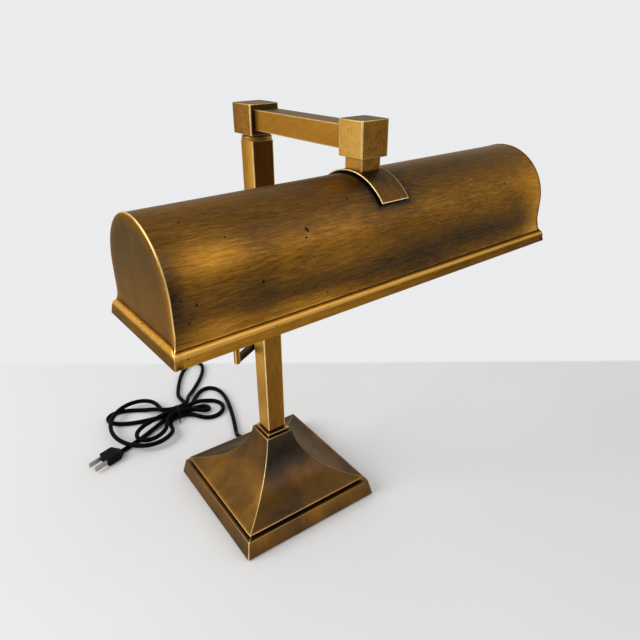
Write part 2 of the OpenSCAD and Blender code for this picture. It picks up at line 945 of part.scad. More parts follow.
// A smooth curve through points, never below a cord that lies on the table
function between(a, b, c, d, t) =
    0.5 * (2 * b + (c - a) * t + (2 * a - 5 * b + 4 * c - d) * t * t + (3 * b - a - 3 * c + d) * t * t * t);
function lifted(p) = [p[0], p[1], max(p[2], cord_z)];
function curve(p, n) = concat(
    [for (i = [0:len(p) - 2]) for (k = [0:n - 1])
        lifted(between(p[max(i - 1, 0)], p[i], p[i + 1], p[min(i + 2, len(p) - 1)], k / n))],
    [p[len(p) - 1]]
);

plug_way = [cos(plug_turn), sin(plug_turn), 0];
plug_rear = [plug_spot[0], plug_spot[1], cord_z];
tail_bend = plug_rear - 14 * plug_way;
hank_start = on_table([straight, slot_y(4), slot_z(4)]);

lead_path = concat(
    [[0, wire_end_y, exit_z], [0, bushing_y, exit_z]],
    curve(concat(
        [[0, bushing_y + straight, exit_z]],
        [for (q = lead_spots) [q[0], q[1], cord_z]],
        [on_table([27, slot_y(4) + 15, cord_z + 1]), on_table([14, slot_y(4) + 1, slot_z(4)]),
         on_table([2 * straight, slot_y(4), slot_z(4)])]
    ), 4),
    [hank_start]
);

// Each loop starts with a straight stretch through the tie
hank_path = concat(
    [for (l = hank_loops) each concat(
        [for (x = [-straight, straight]) on_table([l[0] * x, slot_y(l[1]), slot_z(l[1])])],
        [for (k = [1:loop_rings - 1]) loop_point(l, k / loop_rings)]
    )],
    curve([
        on_table([0, slot_y(2), slot_z(2)]), on_table([-16, slot_y(2) - 1, slot_z(2)]),
        tail_bend + [22, 8, 0.4], tail_bend
    ], 5),
    [plug_rear]
);

// Way along a path at one of its points, and the cord's section there
function way(p, i) = let (d = p[min(i + 1, len(p) - 1)] - p[max(i - 1, 0)]) d / norm(d);
function section(p, i, n) =
    let (w = way(p, i), s = cross(w, [0, 0, 1]) / norm(cross(w, [0, 0, 1])), u = cross(s, w))
    [for (k = [0:n - 1]) p[i] + s * cord_t / 2 * cos(360 * k / n) + u * cord_w / 2 * sin(360 * k / n)];

// A cord along a path as one closed skin
module cord_along(p, n) {
    last = (len(p) - 1) * n;
    polyhedron(
        points = [for (i = [0:len(p) - 1]) each section(p, i, n)],
        faces = concat(
            [[for (k = [0:n - 1]) k]],
            [for (i = [0:len(p) - 2]) for (k = [0:n - 1])
                each let (a = i * n + k, b = i * n + (k + 1) % n) [[a, a + n, b], [b, a + n, b + n]]],
            [[for (k = [n - 1:-1:0]) last + k]]
        )
    );
}

// Least gap of the whole cord to itself, and its length outside the base
cord_path = concat([for (i = [1:len(lead_path) - 2]) lead_path[i]], hank_path);
function step_after(p, i) = i + 1 < len(p) ? norm(p[i + 1] - p[i]) : 0;
function run_to(p) = [for (i = 0, d = 0; i < len(p); d = d + step_after(p, i), i = i + 1) d];
cord_run = run_to(cord_path);
function flat(p) = [p[0], p[1]];
function gap_of(p, q) = max(norm(flat(p) - flat(q)) - cord_t, abs(p[2] - q[2]) - cord_w);
cord_gap = min([for (i = [0:len(cord_path) - 1]) for (k = [i + 1:1:len(cord_path) - 1])
    if (cord_run[k] - cord_run[i] > 20) gap_of(cord_path[i], cord_path[k])]);
echo(cord_gap = cord_gap, cord_length = cord_run[len(cord_run) - 1]);

module cord_lead() {
    color("black") cord_along(lead_path, 8);
}

module cord_hank() {
    color("black") cord_along(hank_path, 6);
}

// A band around the strands at the waist
module hank_tie() {
    half = slot_mid * slot_step + cord_t / 2 + tie_gap;
    top = waist_z + cord_layer + cord_w / 2 + tie_gap;
    low = tie_low + tie_t;
    color("black") translate([waist[0], waist[1], 0]) rotate([0, 0, hank_turn]) difference() {
        translate([-tie_w / 2, -half - tie_t, tie_low])
            cube([tie_w, 2 * (half + tie_t), top + tie_t - tie_low]);
        translate([-tie_w, -half, low]) cube([2 * tie_w, 2 * half, top - low]);
    }
}

module at_plug() {
    translate([plug_spot[0], plug_spot[1], 0]) rotate([0, 0, plug_turn]) children();
}

module plug_body() {
    color("black") at_plug() linear_extrude(height = plug_h) polygon([
        [0, -plug_rear_w / 2], [plug_taper, -plug_w / 2], [plug_l, -plug_w / 2],
        [plug_l, plug_w / 2], [plug_taper, plug_w / 2], [0, plug_rear_w / 2]
    ]);
}

module plug_blades() {
    color("gold") at_plug() for (y = [-blade_gap / 2, blade_gap / 2])
        translate([plug_l, y - blade[1] / 2, plug_h / 2 - blade[2] / 2]) cube(blade);
}

base_felt();
base_plate();
plate_screws();
base_weight();
base_skirt();
base_crown();
neck_collar();
base_pipe();
base_nut();
base_washer();
column();
column_head();
swivel_ring();
swivel_post();
swivel_washer();
swivel_nut();
lower_wire();
upper_wire();
switch_body();
switch_bush();
switch_nut();
switch_spindle();
switch_lever();
switch_grip();
rear_block();
rear_cover();
arm_tube();
arm_wire();
front_block();
front_cover();
shade_neck();
shade_post();
post_washer();
post_nut();
saddle_strap();
inner_saddle();
shade_nut();
shade_barrel();
end_cap_left();
end_cap_right();
front_rail();
back_rail();
socket_cluster();
socket_left();
socket_right();
bulb_cap_left();
bulb_cap_right();
bulb_left();
bulb_right();
cord_bushing();
cord_lead();
cord_hank();
hank_tie();
plug_body();
plug_blades();
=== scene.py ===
import math

import bpy
import numpy as np
from mathutils import Matrix


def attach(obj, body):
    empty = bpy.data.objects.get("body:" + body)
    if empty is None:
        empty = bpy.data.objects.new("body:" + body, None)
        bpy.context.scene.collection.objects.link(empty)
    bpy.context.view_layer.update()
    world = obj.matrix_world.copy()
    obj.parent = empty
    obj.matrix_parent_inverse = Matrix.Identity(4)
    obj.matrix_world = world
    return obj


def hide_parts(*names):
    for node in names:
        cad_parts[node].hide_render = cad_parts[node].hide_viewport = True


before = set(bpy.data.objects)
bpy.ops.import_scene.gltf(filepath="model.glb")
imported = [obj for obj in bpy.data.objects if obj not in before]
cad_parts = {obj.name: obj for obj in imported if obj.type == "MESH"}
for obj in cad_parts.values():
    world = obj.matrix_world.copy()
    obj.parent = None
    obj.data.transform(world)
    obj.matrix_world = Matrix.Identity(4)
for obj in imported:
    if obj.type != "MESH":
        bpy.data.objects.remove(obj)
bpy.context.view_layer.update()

mm = 0.001
tiny = 1e-9  # keeps a length that is divided by off nought
arcSteps = 4  # faces of a softened corner


def pick(spec, names):
    # some values of a piece's dictionary
    return [spec[name] for name in names.split()]


# camera, at the place worked out from the edges of the base, blocks and rim
cameraSpec = dict(place=(-257.3, -459.8, 484.1), yaw=35.26, pitch=26.72, roll=-0.38, lens=31.8,
                  sensor=36.0, clip=(0.01, 50.0))


def aimed(obj, side, up, ahead, place):
    # stands an object at a place in metres, looking ahead
    turn = Matrix(np.column_stack([side, up, -ahead]).tolist()).to_4x4()
    turn.translation = place
    obj.matrix_world = turn
    bpy.context.scene.collection.objects.link(obj)


def makeCamera(spec):
    yaw, pitch, roll = (math.radians(spec[k]) for k in ("yaw", "pitch", "roll"))
    ahead = np.array([math.sin(yaw) * math.cos(pitch), math.cos(yaw) * math.cos(pitch), -math.sin(pitch)])
    side = np.array([math.cos(yaw), -math.sin(yaw), 0.0])
    up = np.cross(side, ahead)
    side, up = side * math.cos(roll) + up * math.sin(roll), up * math.cos(roll) - side * math.sin(roll)
    data = bpy.data.cameras.new("photoCamera")
    data.lens, data.sensor_width = spec["lens"], spec["sensor"]
    data.clip_start, data.clip_end = spec["clip"]
    obj = bpy.data.objects.new("photoCamera", data)
    aimed(obj, side, up, ahead, [v * mm for v in spec["place"]])
    bpy.context.scene.camera = obj


makeCamera(cameraSpec)

# places of the moving assemblies, in millimetres
swing = math.radians(2.8)
armReach = 140.6
saddleOff = 1.5


def turned(points, angle):
    c, s = math.cos(angle), math.sin(angle)
    x, y, z = points[..., 0], points[..., 1], points[..., 2]
    return stacked(x * c - y * s, x * s + y * c, z)


def onArm(points):
    return turned(points, swing)


def onShade(points):
    return turned(points + (0.0, -armReach, 0.0), swing)


def onBarrel(points):
    return onShade(points + (-saddleOff, 0.0, 0.0))


# mesh helpers

def stacked(*parts):
    # coordinates put together as points, a single value or row being repeated
    return np.stack(np.broadcast_arrays(*parts), -1)


def unit(vectors):
    # the same directions with a length of 1
    return vectors / np.maximum(np.linalg.norm(vectors, axis=-1, keepdims=True), tiny)


def fullTurn(count):
    # even angles round a circle
    return np.linspace(0, 2 * math.pi, count, endpoint=False)


def ease(t):
    t = np.clip(t, 0, 1)
    return t * t * (3 - 2 * t)


def rising(value, start, over):
    # a smooth step from 0 at the start to 1 a given stretch later
    return ease((value - start) / over)


def hump(value, middle, half):
    # a bell of height 1
    return np.exp(-(((value - middle) / half) ** 2))


def softCorners(corners, radius, closed=True, margin=0.5, arcShare=0.4, plainShare=0.48, straight=0.99999):
    # each corner becomes an arc tangent to its two sides, with one plain point further along each side;
    # wear is 1 on the arcs, and the shares are the most of a side that arcs and plain points take
    c = np.asarray(corners, float)
    back, fore = np.roll(c, 1, 0) - c, np.roll(c, -1, 0) - c
    lenB, lenF = np.linalg.norm(back, axis=1), np.linalg.norm(fore, axis=1)
    back, fore = back / lenB[:, None], fore / lenF[:, None]
    half = 0.5 * np.arccos(np.clip((back * fore).sum(1), -straight, straight))
    r = np.broadcast_to(np.asarray(radius, float), half.shape)
    cut = np.minimum(r / np.tan(half), arcShare * np.minimum(lenB, lenF))
    r = cut * np.tan(half)
    centre = c + unit(back + fore) * (r / np.sin(half))[:, None]
    start, end = c + back * cut[:, None], c + fore * cut[:, None]
    t = np.linspace(0, 1, arcSteps + 1)[None, :, None]
    spoke = (start - centre)[:, None] * (1 - t) + (end - centre)[:, None] * t
    arc = centre[:, None] + unit(spoke) * r[:, None, None]
    near = c + back * np.minimum(cut + margin, plainShare * lenB)[:, None]
    far = c + fore * np.minimum(cut + margin, plainShare * lenF)[:, None]
    line = np.concatenate([near[:, None], arc, far[:, None]], 1)
    wear = np.zeros(line.shape[:2])
    wear[:, 1:-1] = 1.0
    if closed:
        return line.reshape(-1, 2), wear.ravel()
    inner, innerWear = line[1:-1].reshape(-1, 2), wear[1:-1].ravel()
    return np.concatenate([c[:1], inner, c[-1:]]), np.concatenate([[0.0], innerWear, [0.0]])


def boxSkin(halfA, halfB, line, wear, radius=0.5, margin=0.5):
    # a rounded rectangle carried along a line of (inset, station): width a = half a - inset, and b alike
    signs = np.array([[1, -1], [1, 1], [-1, 1], [-1, -1]], float)
    far = 50.0  # half width of a square whose round corners are then moved to their places
    ring, ringWear = softCorners(signs * far, radius, margin=margin)
    sign = np.repeat(signs, len(ring) // 4, axis=0)
    off = ring - sign * far
    a = (halfA - line[:, 0])[:, None] * sign[None, :, 0] + off[None, :, 0]
    b = (halfB - line[:, 0])[:, None] * sign[None, :, 1] + off[None, :, 1]
    s = np.broadcast_to(line[:, 1][:, None], a.shape)
    side = np.ones(len(line))
    side[[0, -1]] = 0.0
    return a, b, s, np.maximum(ringWear[None] * side[:, None], wear[:, None])


def barLine(s0, s1, radius=0.5, cap=3.0, margin=0.5):
    # side view of a straight bar: in over its first end, along its side and in over the other end
    return softCorners([(cap, s0), (0, s0), (0, s1), (cap, s1)], radius, closed=False, margin=margin)


def withStations(line, wear, count=60, margin=2.5):
    # a bar's side view with more plain points on its long straight side
    gap = np.argmax(np.diff(line[:, 1])) + 1
    more = stacked(0.0, np.linspace(line[0, 1] + margin, line[-1, 1] - margin, count))
    return np.insert(line, gap, more, axis=0), np.insert(wear, gap, np.zeros(count))


def roundSkin(profile, count):
    # a profile of (radius, station) turned about its axis
    angle = fullTurn(count)
    r, s = profile[:, 0][:, None], profile[:, 1][:, None]
    return r * np.cos(angle), r * np.sin(angle), s


def faceShade(grid, x, y, top, closed=False):
    # painted light and shade by the way a face looks: squares of the normal's parts weigh three values
    du = np.roll(grid, -1, 1) - np.roll(grid, 1, 1)
    dv = np.roll(grid, -1, 0) - np.roll(grid, 1, 0) if closed else np.gradient(grid, axis=0)
    n = unit(np.cross(du, dv))
    return n[..., 0] ** 2 * x + n[..., 1] ** 2 * y + n[..., 2] ** 2 * top


def skin(grid, wear=0.0, rubAndShade=0.5, closed=False):
    # quads between the neighbours of a grid whose rows are rings, turned so that they look outwards
    rows, cols = grid.shape[:2]
    index = np.arange(rows * cols).reshape(rows, cols)
    if closed:
        index = np.concatenate([index, index[:1]])
    here, there = index[:-1], index[1:]
    quads = stacked(here, np.roll(here, -1, 1), np.roll(there, -1, 1), there).reshape(-1, 4)
    points = grid.reshape(-1, 3)
    p = points[quads]
    volume = (p[:, 0] * np.cross(p[:, 1], p[:, 2]) + p[:, 0] * np.cross(p[:, 2], p[:, 3])).sum()
    caps = []
    if not closed:
        caps = [index[0][::-1], index[-1]]
        rings = [points[c] for c in caps]
        volume += sum((ring[0] * np.cross(ring, np.roll(ring, -1, 0))).sum() for ring in rings)
    faces = quads.tolist() + [c.tolist() for c in caps]
    if volume < 0:
        faces = [f[::-1] for f in faces]
    full = np.ones((rows, cols))
    return points, faces, (full * wear).ravel(), (full * rubAndShade).ravel()


def makePiece(name, skins, finish, body, nodes=()):
    points, faces, wear, rubAndShade = [], [], [], []
    count = 0
    for p, f, w, r in skins:
        points.append(p)
        faces += [[i + count for i in face] for face in f]
        wear.append(w)
        rubAndShade.append(r)
        count += len(p)
    mesh = bpy.data.meshes.new(name)
    mesh.from_pydata((np.concatenate(points) * mm).tolist(), [], faces)
    for label, values in (("wear", wear), ("rubAndShade", rubAndShade)):
        layer = mesh.attributes.new(label, "FLOAT", "POINT")
        layer.data.foreach_set("value", np.concatenate(values).astype(np.float32))
    mesh.polygons.foreach_set("use_smooth", np.ones(len(mesh.polygons), bool))
    mesh.update()
    obj = bpy.data.objects.new(name, mesh)
    bpy.context.scene.collection.objects.link(obj)
    mesh.materials.append(finishes[finish])
    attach(obj, body)
    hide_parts(*nodes)
    return obj


# material helpers

def feed(tree, node, inputs):
    # a socket is linked to an input, any other value is set on it
    for key, value in inputs.items():
        if isinstance(value, bpy.types.NodeSocket):
            tree.links.new(value, node.inputs[key])
        else:
            node.inputs[key].default_value = value


def nodeOf(tree, kind, inputs=None, **settings):
    made = tree.nodes.new("ShaderNode" + kind)
    for key, value in settings.items():
        setattr(made, key, value)
    feed(tree, made, inputs or {})
    return made


def newFinish(name):
    finish = bpy.data.materials.new(name)
    finish.use_nodes = True
    tree = finish.node_tree
    return finish, tree, tree.nodes["Principled BSDF"]


def patternSpace(tree, scale, turn=0.0):
    where = nodeOf(tree, "TexCoord").outputs["Object"]
    inputs = {"Vector": where, "Rotation": (0, 0, turn), "Scale": scale}
    return nodeOf(tree, "Mapping", inputs).outputs[0]


def noiseOf(tree, space, scale=1.0, detail=3.0, rough=0.55, distort=0.0):
    inputs = {"Vector": space, "Scale": scale, "Detail": detail, "Roughness": rough, "Distortion": distort}
    return nodeOf(tree, "TexNoise", inputs).outputs[0]


def mathOf(tree, operation, a, b=0.0, c=0.0, clamp=False):
    return nodeOf(tree, "Math", {0: a, 1: b, 2: c}, operation=operation, use_clamp=clamp).outputs[0]


def rangeOf(tree, value, low, high, toLow=0.0, toHigh=1.0):
    inputs = {"Value": value, "From Min": low, "From Max": high, "To Min": toLow, "To Max": toHigh}
    return nodeOf(tree, "MapRange", inputs).outputs[0]


def rampOf(tree, value, stops):
    made = nodeOf(tree, "ValToRGB", {"Fac": value})
    band = made.color_ramp.elements
    while len(band) < len(stops):
        band.new(0.5)
    for element, (place, colour) in zip(band, stops):
        element.position = place
        element.color = (*colour, 1.0)
    return made.outputs[0]


def mixOf(tree, share, a, b):
    a, b = (v if isinstance(v, bpy.types.NodeSocket) else (*v, 1.0) for v in (a, b))
    return nodeOf(tree, "Mix", {"Factor": share, 6: a, 7: b}, data_type="RGBA").outputs[2]


def centred(tree, noise, strength, base):
    # a noise spread about nought, times a strength, on top of a base
    return mathOf(tree, "MULTIPLY_ADD", rangeOf(tree, noise, 0.25, 0.75, -0.5, 0.5), strength, base)


brassTones = dict(
    pit=(0.004, 0.003, 0.002),
    black=(0.011, 0.007, 0.004),
    dark=(0.046, 0.023, 0.007),
    brown=(0.152, 0.064, 0.005),
    gold=(0.43, 0.190, 0.014),
    bright=(0.68, 0.375, 0.075),
    # edge: bare worn brass, made bright enough to stand for a painted highlight as well
    edge=(1.0, 0.70, 0.29),
    tint=(0.86, 0.66, 0.42),
)
patinaSpec = dict(
    # polish, painted light and shade included, at which each tone stands
    stops=((0.0, "black"), (0.16, "dark"), (0.42, "brown"), (0.76, "gold"), (1.0, "bright")),
    # shares of the patterns in the polish; brush marks are finer streaks
    cloudShare=0.55, streakShare=0.42, brushShare=0.5, brushScale=2.3,
    # a pit and a dent fade out between two distances from their middle
    pitFade=(0.12, 0.05), dentFade=(1.15, 0.7), chipScale=120.0, chipRange=(0.34, 0.56, 0.7, 1.0),
    wearPower=1.8, brushRough=0.22, pitRough=0.4, dullRough=0.12,
    brushHigh=0.5, pitHigh=-1.2,
)


def agedBrass(name, streak, cloud, turn=0.0, pits=0.3, pitScale=130.0, uneven=0.5, fine=1.0, gloss=0.26,
              lacquer=0.2, dents=()):
    # hand-rubbed brass: polish is the rub attribute, which also carries painted light and shade, plus clouds,
    # streaks and brush marks;
    # bare bright metal is the wear attribute broken by chips, dents are small dark ellipsoids
    spec, tones = patinaSpec, brassTones
    finish, tree, shader = newFinish(name)
    plain = patternSpace(tree, (1, 1, 1), turn)
    clouds = noiseOf(tree, patternSpace(tree, cloud, turn), distort=0.3)
    streaks = noiseOf(tree, patternSpace(tree, streak, turn), detail=4, rough=0.6)
    finer = tuple(spec["brushScale"] * v for v in streak)
    brush = noiseOf(tree, patternSpace(tree, finer, turn), rough=0.6)
    rubAndShade = nodeOf(tree, "Attribute", attribute_name="rubAndShade").outputs["Fac"]
    wear = nodeOf(tree, "Attribute", attribute_name="wear").outputs["Fac"]
    polishAndShade = centred(tree, clouds, uneven * spec["cloudShare"], rubAndShade)
    polishAndShade = centred(tree, streaks, uneven * fine * spec["streakShare"], polishAndShade)
    polishAndShade = centred(tree, brush, uneven * fine * spec["brushShare"], polishAndShade)
    polishAndShade = mathOf(tree, "ADD", polishAndShade, 0.0, clamp=True)
    colour = rampOf(tree, polishAndShade, [(place, tones[tone]) for place, tone in spec["stops"]])
    cells = nodeOf(tree, "TexVoronoi", {"Vector": plain, "Scale": pitScale, "Randomness": 1.0})
    draw = nodeOf(tree, "SeparateColor", {0: cells.outputs["Color"]}).outputs[0]
    pit = rangeOf(tree, cells.outputs["Distance"], *spec["pitFade"])
    pit = mathOf(tree, "MULTIPLY", pit, mathOf(tree, "LESS_THAN", draw, pits))
    where = nodeOf(tree, "TexCoord").outputs["Object"]
    for place, lean, size in dents:
        inputs = {"Vector": where, "Location": place, "Rotation": lean, "Scale": size}
        inside = nodeOf(tree, "Mapping", inputs, vector_type="TEXTURE").outputs[0]
        off = nodeOf(tree, "VectorMath", {0: inside}, operation="LENGTH").outputs["Value"]
        pit = mathOf(tree, "MAXIMUM", pit, rangeOf(tree, off, *spec["dentFade"]))
    colour = mixOf(tree, pit, colour, tones["pit"])
    chips = rangeOf(tree, noiseOf(tree, plain, spec["chipScale"], 4, 0.65), *spec["chipRange"])
    worn = mathOf(tree, "MULTIPLY", mathOf(tree, "POWER", wear, spec["wearPower"]), chips)
    colour = mixOf(tree, worn, colour, tones["edge"])
    rough = mathOf(tree, "MULTIPLY_ADD", brush, spec["brushRough"], gloss)
    rough = mathOf(tree, "MULTIPLY_ADD", pit, spec["pitRough"], rough)
    rough = mathOf(tree, "MULTIPLY_ADD", mathOf(tree, "SUBTRACT", 1.0, polishAndShade), spec["dullRough"], rough)
    height = mathOf(tree, "MULTIPLY", brush, spec["brushHigh"] * fine)
    height = mathOf(tree, "MULTIPLY_ADD", pit, spec["pitHigh"], height)
    inputs = {"Strength": 0.22, "Distance": 0.0003, "Height": height}
    bump = nodeOf(tree, "Bump", inputs).outputs[0]
    feed(tree, shader, {"Base Color": colour, "Roughness": rough, "Normal": bump, "Metallic": 0.95,
                        "Specular Tint": (*tones["tint"], 1.0), "Coat Weight": lacquer,
                        "Coat Roughness": 0.28})
    return finish


def plainFinish(name, one, two, scale, rough, metallic, bump=0.1, detail=4.0, spread=0.15, more=None):
    # two tones of one material mixed by a noise, with the same noise in its roughness and bump
    finish, tree, shader = newFinish(name)
    grain = noiseOf(tree, patternSpace(tree, (1, 1, 1)), scale, detail, 0.6)
    low, high = 0.3, 0.7  # the noise seldom leaves this range
    colour = mixOf(tree, rangeOf(tree, grain, low, high), one, two)
    dull = rangeOf(tree, grain, low, high, rough - spread / 2, rough + spread / 2)
    height = nodeOf(tree, "Bump", {"Strength": bump, "Distance": 0.0004, "Height": grain}).outputs[0]
    feed(tree, shader, {"Base Color": colour, "Roughness": dull, "Normal": height, "Metallic": metallic})
    feed(tree, shader, more or {})
    return finish


alongX, alongY, alongZ, evenGrain = (60, 800, 800), (800, 60, 800), (800, 800, 60), (190, 190, 190)
shadeDents = [  # place, lean of the long axis and half sizes, in metres
    ((-0.0688, -0.1798, 0.3770), (0, 0.85, -0.85), (0.0020, 0.0011, 0.0011)),
    ((-0.0709, -0.1823, 0.3728), (0, 0, 0), (0.0008, 0.0008, 0.0008)),
    ((-0.1060, -0.1883, 0.3544), (0, 0, 0), (0.0009, 0.0009, 0.0013)),
    ((-0.1499, -0.1905, 0.3517), (0, 0.5, 0), (0.0007, 0.0008, 0.0013)),
    ((-0.1556, -0.1907, 0.3423), (0, 0, 0), (0.0006, 0.0008, 0.0008)),
    ((-0.1239, -0.1783, 0.3826), (0, 0, 0), (0.0007, 0.0007, 0.0007)),
]
brassLooks = dict(
    shadeBrass=dict(streak=alongX, cloud=(11, 26, 26), turn=-swing, uneven=0.35, fine=1.68, lacquer=0.18,
                    dents=shadeDents),
    railBrass=dict(streak=alongX, cloud=(22, 60, 60), turn=-swing, uneven=0.36, pits=0.4, pitScale=170.0,
                   lacquer=0.1),
    capBrass=dict(streak=(300, 110, 640), cloud=(26, 26, 20), turn=-swing, uneven=0.40, pits=0.06,
                  lacquer=0.12),
    columnBrass=dict(streak=alongZ, cloud=(30, 30, 9), uneven=0.30, pits=0.03, lacquer=0.14),
    armBrass=dict(streak=alongY, cloud=(30, 12, 30), turn=-swing, uneven=0.32, pits=0.16),
    blockBrass=dict(streak=evenGrain, cloud=(34, 34, 34), turn=-swing, uneven=0.28, fine=1.3, pits=0.14),
    baseBrass=dict(streak=(90, 90, 40), cloud=(24, 24, 20), uneven=0.62, fine=0.22, pits=0.04, gloss=0.25,
                   lacquer=0.33),
)
faintShine = {"Specular IOR Level": 0.03}
plainLooks = dict(
    # two tones, scale of the grain, roughness, metal, bump, detail, spread of the roughness, other inputs
    plainBrass=((0.42, 0.25, 0.07), (0.55, 0.34, 0.10), 160.0, 0.36, 0.95),
    blackCord=((0.0015, 0.0015, 0.0017), (0.003, 0.003, 0.0034), 240.0, 0.42, 0.0, 0.05, 4, 0.15, faintShine),
    blackPlug=((0.005, 0.005, 0.006), (0.010, 0.010, 0.011), 900.0, 0.44, 0.0, 0.12, 4, 0.15, faintShine),
    darkMetal=((0.030, 0.022, 0.014), (0.075, 0.050, 0.025), 210.0, 0.42, 0.85),
    steelGrey=((0.42, 0.42, 0.42), (0.56, 0.56, 0.55), 180.0, 0.34, 1.0),
    castIron=((0.045, 0.045, 0.047), (0.085, 0.083, 0.080), 320.0, 0.72, 0.6, 0.5),
    greenFelt=((0.012, 0.040, 0.022), (0.030, 0.075, 0.042), 1600.0, 0.96, 0.0, 0.9, 6, 0.04),
    socketBlack=((0.012, 0.011, 0.010), (0.026, 0.024, 0.022), 260.0, 0.36, 0.0),
    bulbMetal=((0.55, 0.53, 0.48), (0.68, 0.66, 0.60), 120.0, 0.28, 1.0),
    frostGlass=((0.82, 0.81, 0.78), (0.90, 0.89, 0.87), 300.0, 0.38, 0.0, 0.03, 4, 0.15,
                {"Transmission Weight": 0.35}),
    pinMetal=((0.34, 0.31, 0.28), (0.46, 0.43, 0.39), 200.0, 0.34, 1.0),
)
finishes = {name: agedBrass(name, **look) for name, look in brassLooks.items()}
finishes.update({name: plainFinish(name, *look) for name, look in plainLooks.items()})
print("finishes made:", len(bpy.data.materials))

# cord: the lead from the base, the tied hank on the table and the plug

cordSpec = dict(
    width=6.0, thick=5.8, exit=(0.0, 91.2, 10.5), length=1.613, around=20, lift=0.1,
    # pinch between the two cores
    pinch=0.08, pinchHalf=0.8,
    # route: straight stub at its ends, points between spots, even step, reach of the softening
    stub=3.0, between=12, step=2.2, soften=38.0,
)
hankSpec = dict(
    waist=(-42.0, 196.0), turn=-6.0, slotStep=2.1, slotMiddle=3, waistZ=4.5, layer=6.8,
    # loops in the order the cord runs: side, slot in and out, angle in and out, reach, layer
    loops=[(-1, 4, 5, 6, 38, 98, 0), (1, 5, 6, 49, 72, 140, 0), (-1, 6, 0, 58, -66, 92, 1),
           (1, 0, 3, -40, 24, 64, 0), (-1, 3, 1, -8, -52, 74, 1), (1, 1, 2, -26, 14, 46, 0)],
    # where a loop opens and comes down to the table: distance from the tie, and stretch
    open=(0, 40), down=(16, 36),
    lead=[(6, 112), (16, 138), (28, 176), (33, 204), (31, 224), (21, 235), (7, 231)],
    # ways in and out: the slot, places along the hank and across it from that slot, lift of the first
    slotIn=4, wayIn=[(27, 15), (14, 1), (6, 0), (3, 0)], slotOut=2, wayOut=[(0, 0), (-16, -1)], wayLift=1,
)
plugSpec = dict(
    spot=(-134.0, 163.0), turn=198.5, length=25.0, width=21.0, height=12.0,
    rear=12.0, rearHalfZ=3.6, rearDrop=2.3, taper=9.0, endRound=1.2, edgeRound=2.2,
    # share of the end's rounding that the height takes, and the gap under the body
    endShare=0.8, gap=0.05,
    # grip ridges: height, pitch, place of a crest and the stretch that has them
    ridge=0.45, pitch=3.2, crest=11, ridged=(9.4, 17.4),
    # blades: length, thickness and height, the gap between them, depth and length of the bevel
    blade=(17.5, 1.5, 6.3), bladeGap=12.7, bevel=(0.55, 2),
    # the cord's straight end behind the plug, and where it comes from
    straight=14, comesFrom=(22, 8, 0.4),
)
cordZ = cordSpec["width"] / 2 + cordSpec["lift"]


def onTable(points):
    # from the hank's own axes to the table
    return turned(points, math.radians(hankSpec["turn"])) + (*hankSpec["waist"], 0.0)


def slotPlace(slot):
    y = (slot - hankSpec["slotMiddle"]) * hankSpec["slotStep"]
    return y, hankSpec["waistZ"] + (slot % 2) * hankSpec["layer"]


def besideSlot(slot, places):
    y, z = slotPlace(slot)
    return np.array([[along, y + across, z] for along, across in places])


def hankLoop(loop, count=96):
    # out to the loop's reach and back as a sine, while its angle swings from one side to the other
    side, slotIn, slotOut, angleIn, angleOut, reach, layer = loop
    t = np.arange(count) / count
    r = reach * np.sin(math.pi * t)
    e = t ** 3 * (10 - 15 * t + 6 * t * t)
    angle = np.radians(angleIn + (angleOut - angleIn) * e) * rising(r, *hankSpec["open"])
    (y0, z0), (y1, z1) = slotPlace(slotIn), slotPlace(slotOut)
    low = np.where(t < 0.5, z0, z1)
    z = low + (cordZ + layer * hankSpec["layer"] - low) * rising(r, *hankSpec["down"])
    return onTable(stacked(side * r * np.cos(angle), y0 + (y1 - y0) * e + r * np.sin(angle), z))


def throughPoints(points, steps):
    # a smooth cubic through points, never below a cord that lies on the table
    p = np.asarray(points, float)
    a, b, c, d = p[[0, *range(len(p) - 2)]], p[:-1], p[1:], p[[*range(2, len(p)), len(p) - 1]]
    t = (np.arange(steps) / steps)[None, :, None]
    a, b, c, d = a[:, None], b[:, None], c[:, None], d[:, None]
    bend = (2 * a - 5 * b + 4 * c - d) * t ** 2 + (3 * b - a - 3 * c + d) * t ** 3
    line = 0.5 * (2 * b + (c - a) * t + bend)
    line = np.concatenate([line.reshape(-1, 3), p[-1:]])
    line[:, 2] = np.maximum(line[:, 2], cordZ)
    return line


def cordRoute(spec):
    plugTurn = math.radians(plugSpec["turn"])
    plugWay = np.array([math.cos(plugTurn), math.sin(plugTurn), 0.0])
    rear = np.array([*plugSpec["spot"], cordZ])
    bend = rear - plugSpec["straight"] * plugWay
    way = np.array([0.0, spec["stub"], 0.0])
    first = np.array(spec["exit"])
    start = np.stack([first - 2 * way, first - way, first])
    into = besideSlot(hankSpec["slotIn"], hankSpec["wayIn"])
    into[0, 2] = cordZ + hankSpec["wayLift"]
    into = onTable(into)
    spots = [(x, y, cordZ) for x, y in hankSpec["lead"]]
    lead = throughPoints([first + way, *spots, *into[:3]], spec["between"])
    hank = np.concatenate([hankLoop(loop) for loop in hankSpec["loops"]])
    tail = onTable(besideSlot(hankSpec["slotOut"], hankSpec["wayOut"]))
    tail = throughPoints([*tail, bend + plugSpec["comesFrom"], bend], spec["between"])
    return np.concatenate([start, lead, into[3:], hank, tail, [rear], [rear + spec["stub"] * plugWay]])


def runOf(path):
    # distance of each point from the start, along the line
    return np.concatenate([[0], np.cumsum(np.linalg.norm(np.diff(path, axis=0), axis=1))])


def evenly(path, step):
    # the same line with its points a fixed step apart
    run = runOf(path)
    at = np.linspace(0, run[-1], int(run[-1] / step) + 1)
    return np.stack([np.interp(at, run, path[:, k]) for k in range(3)], -1)


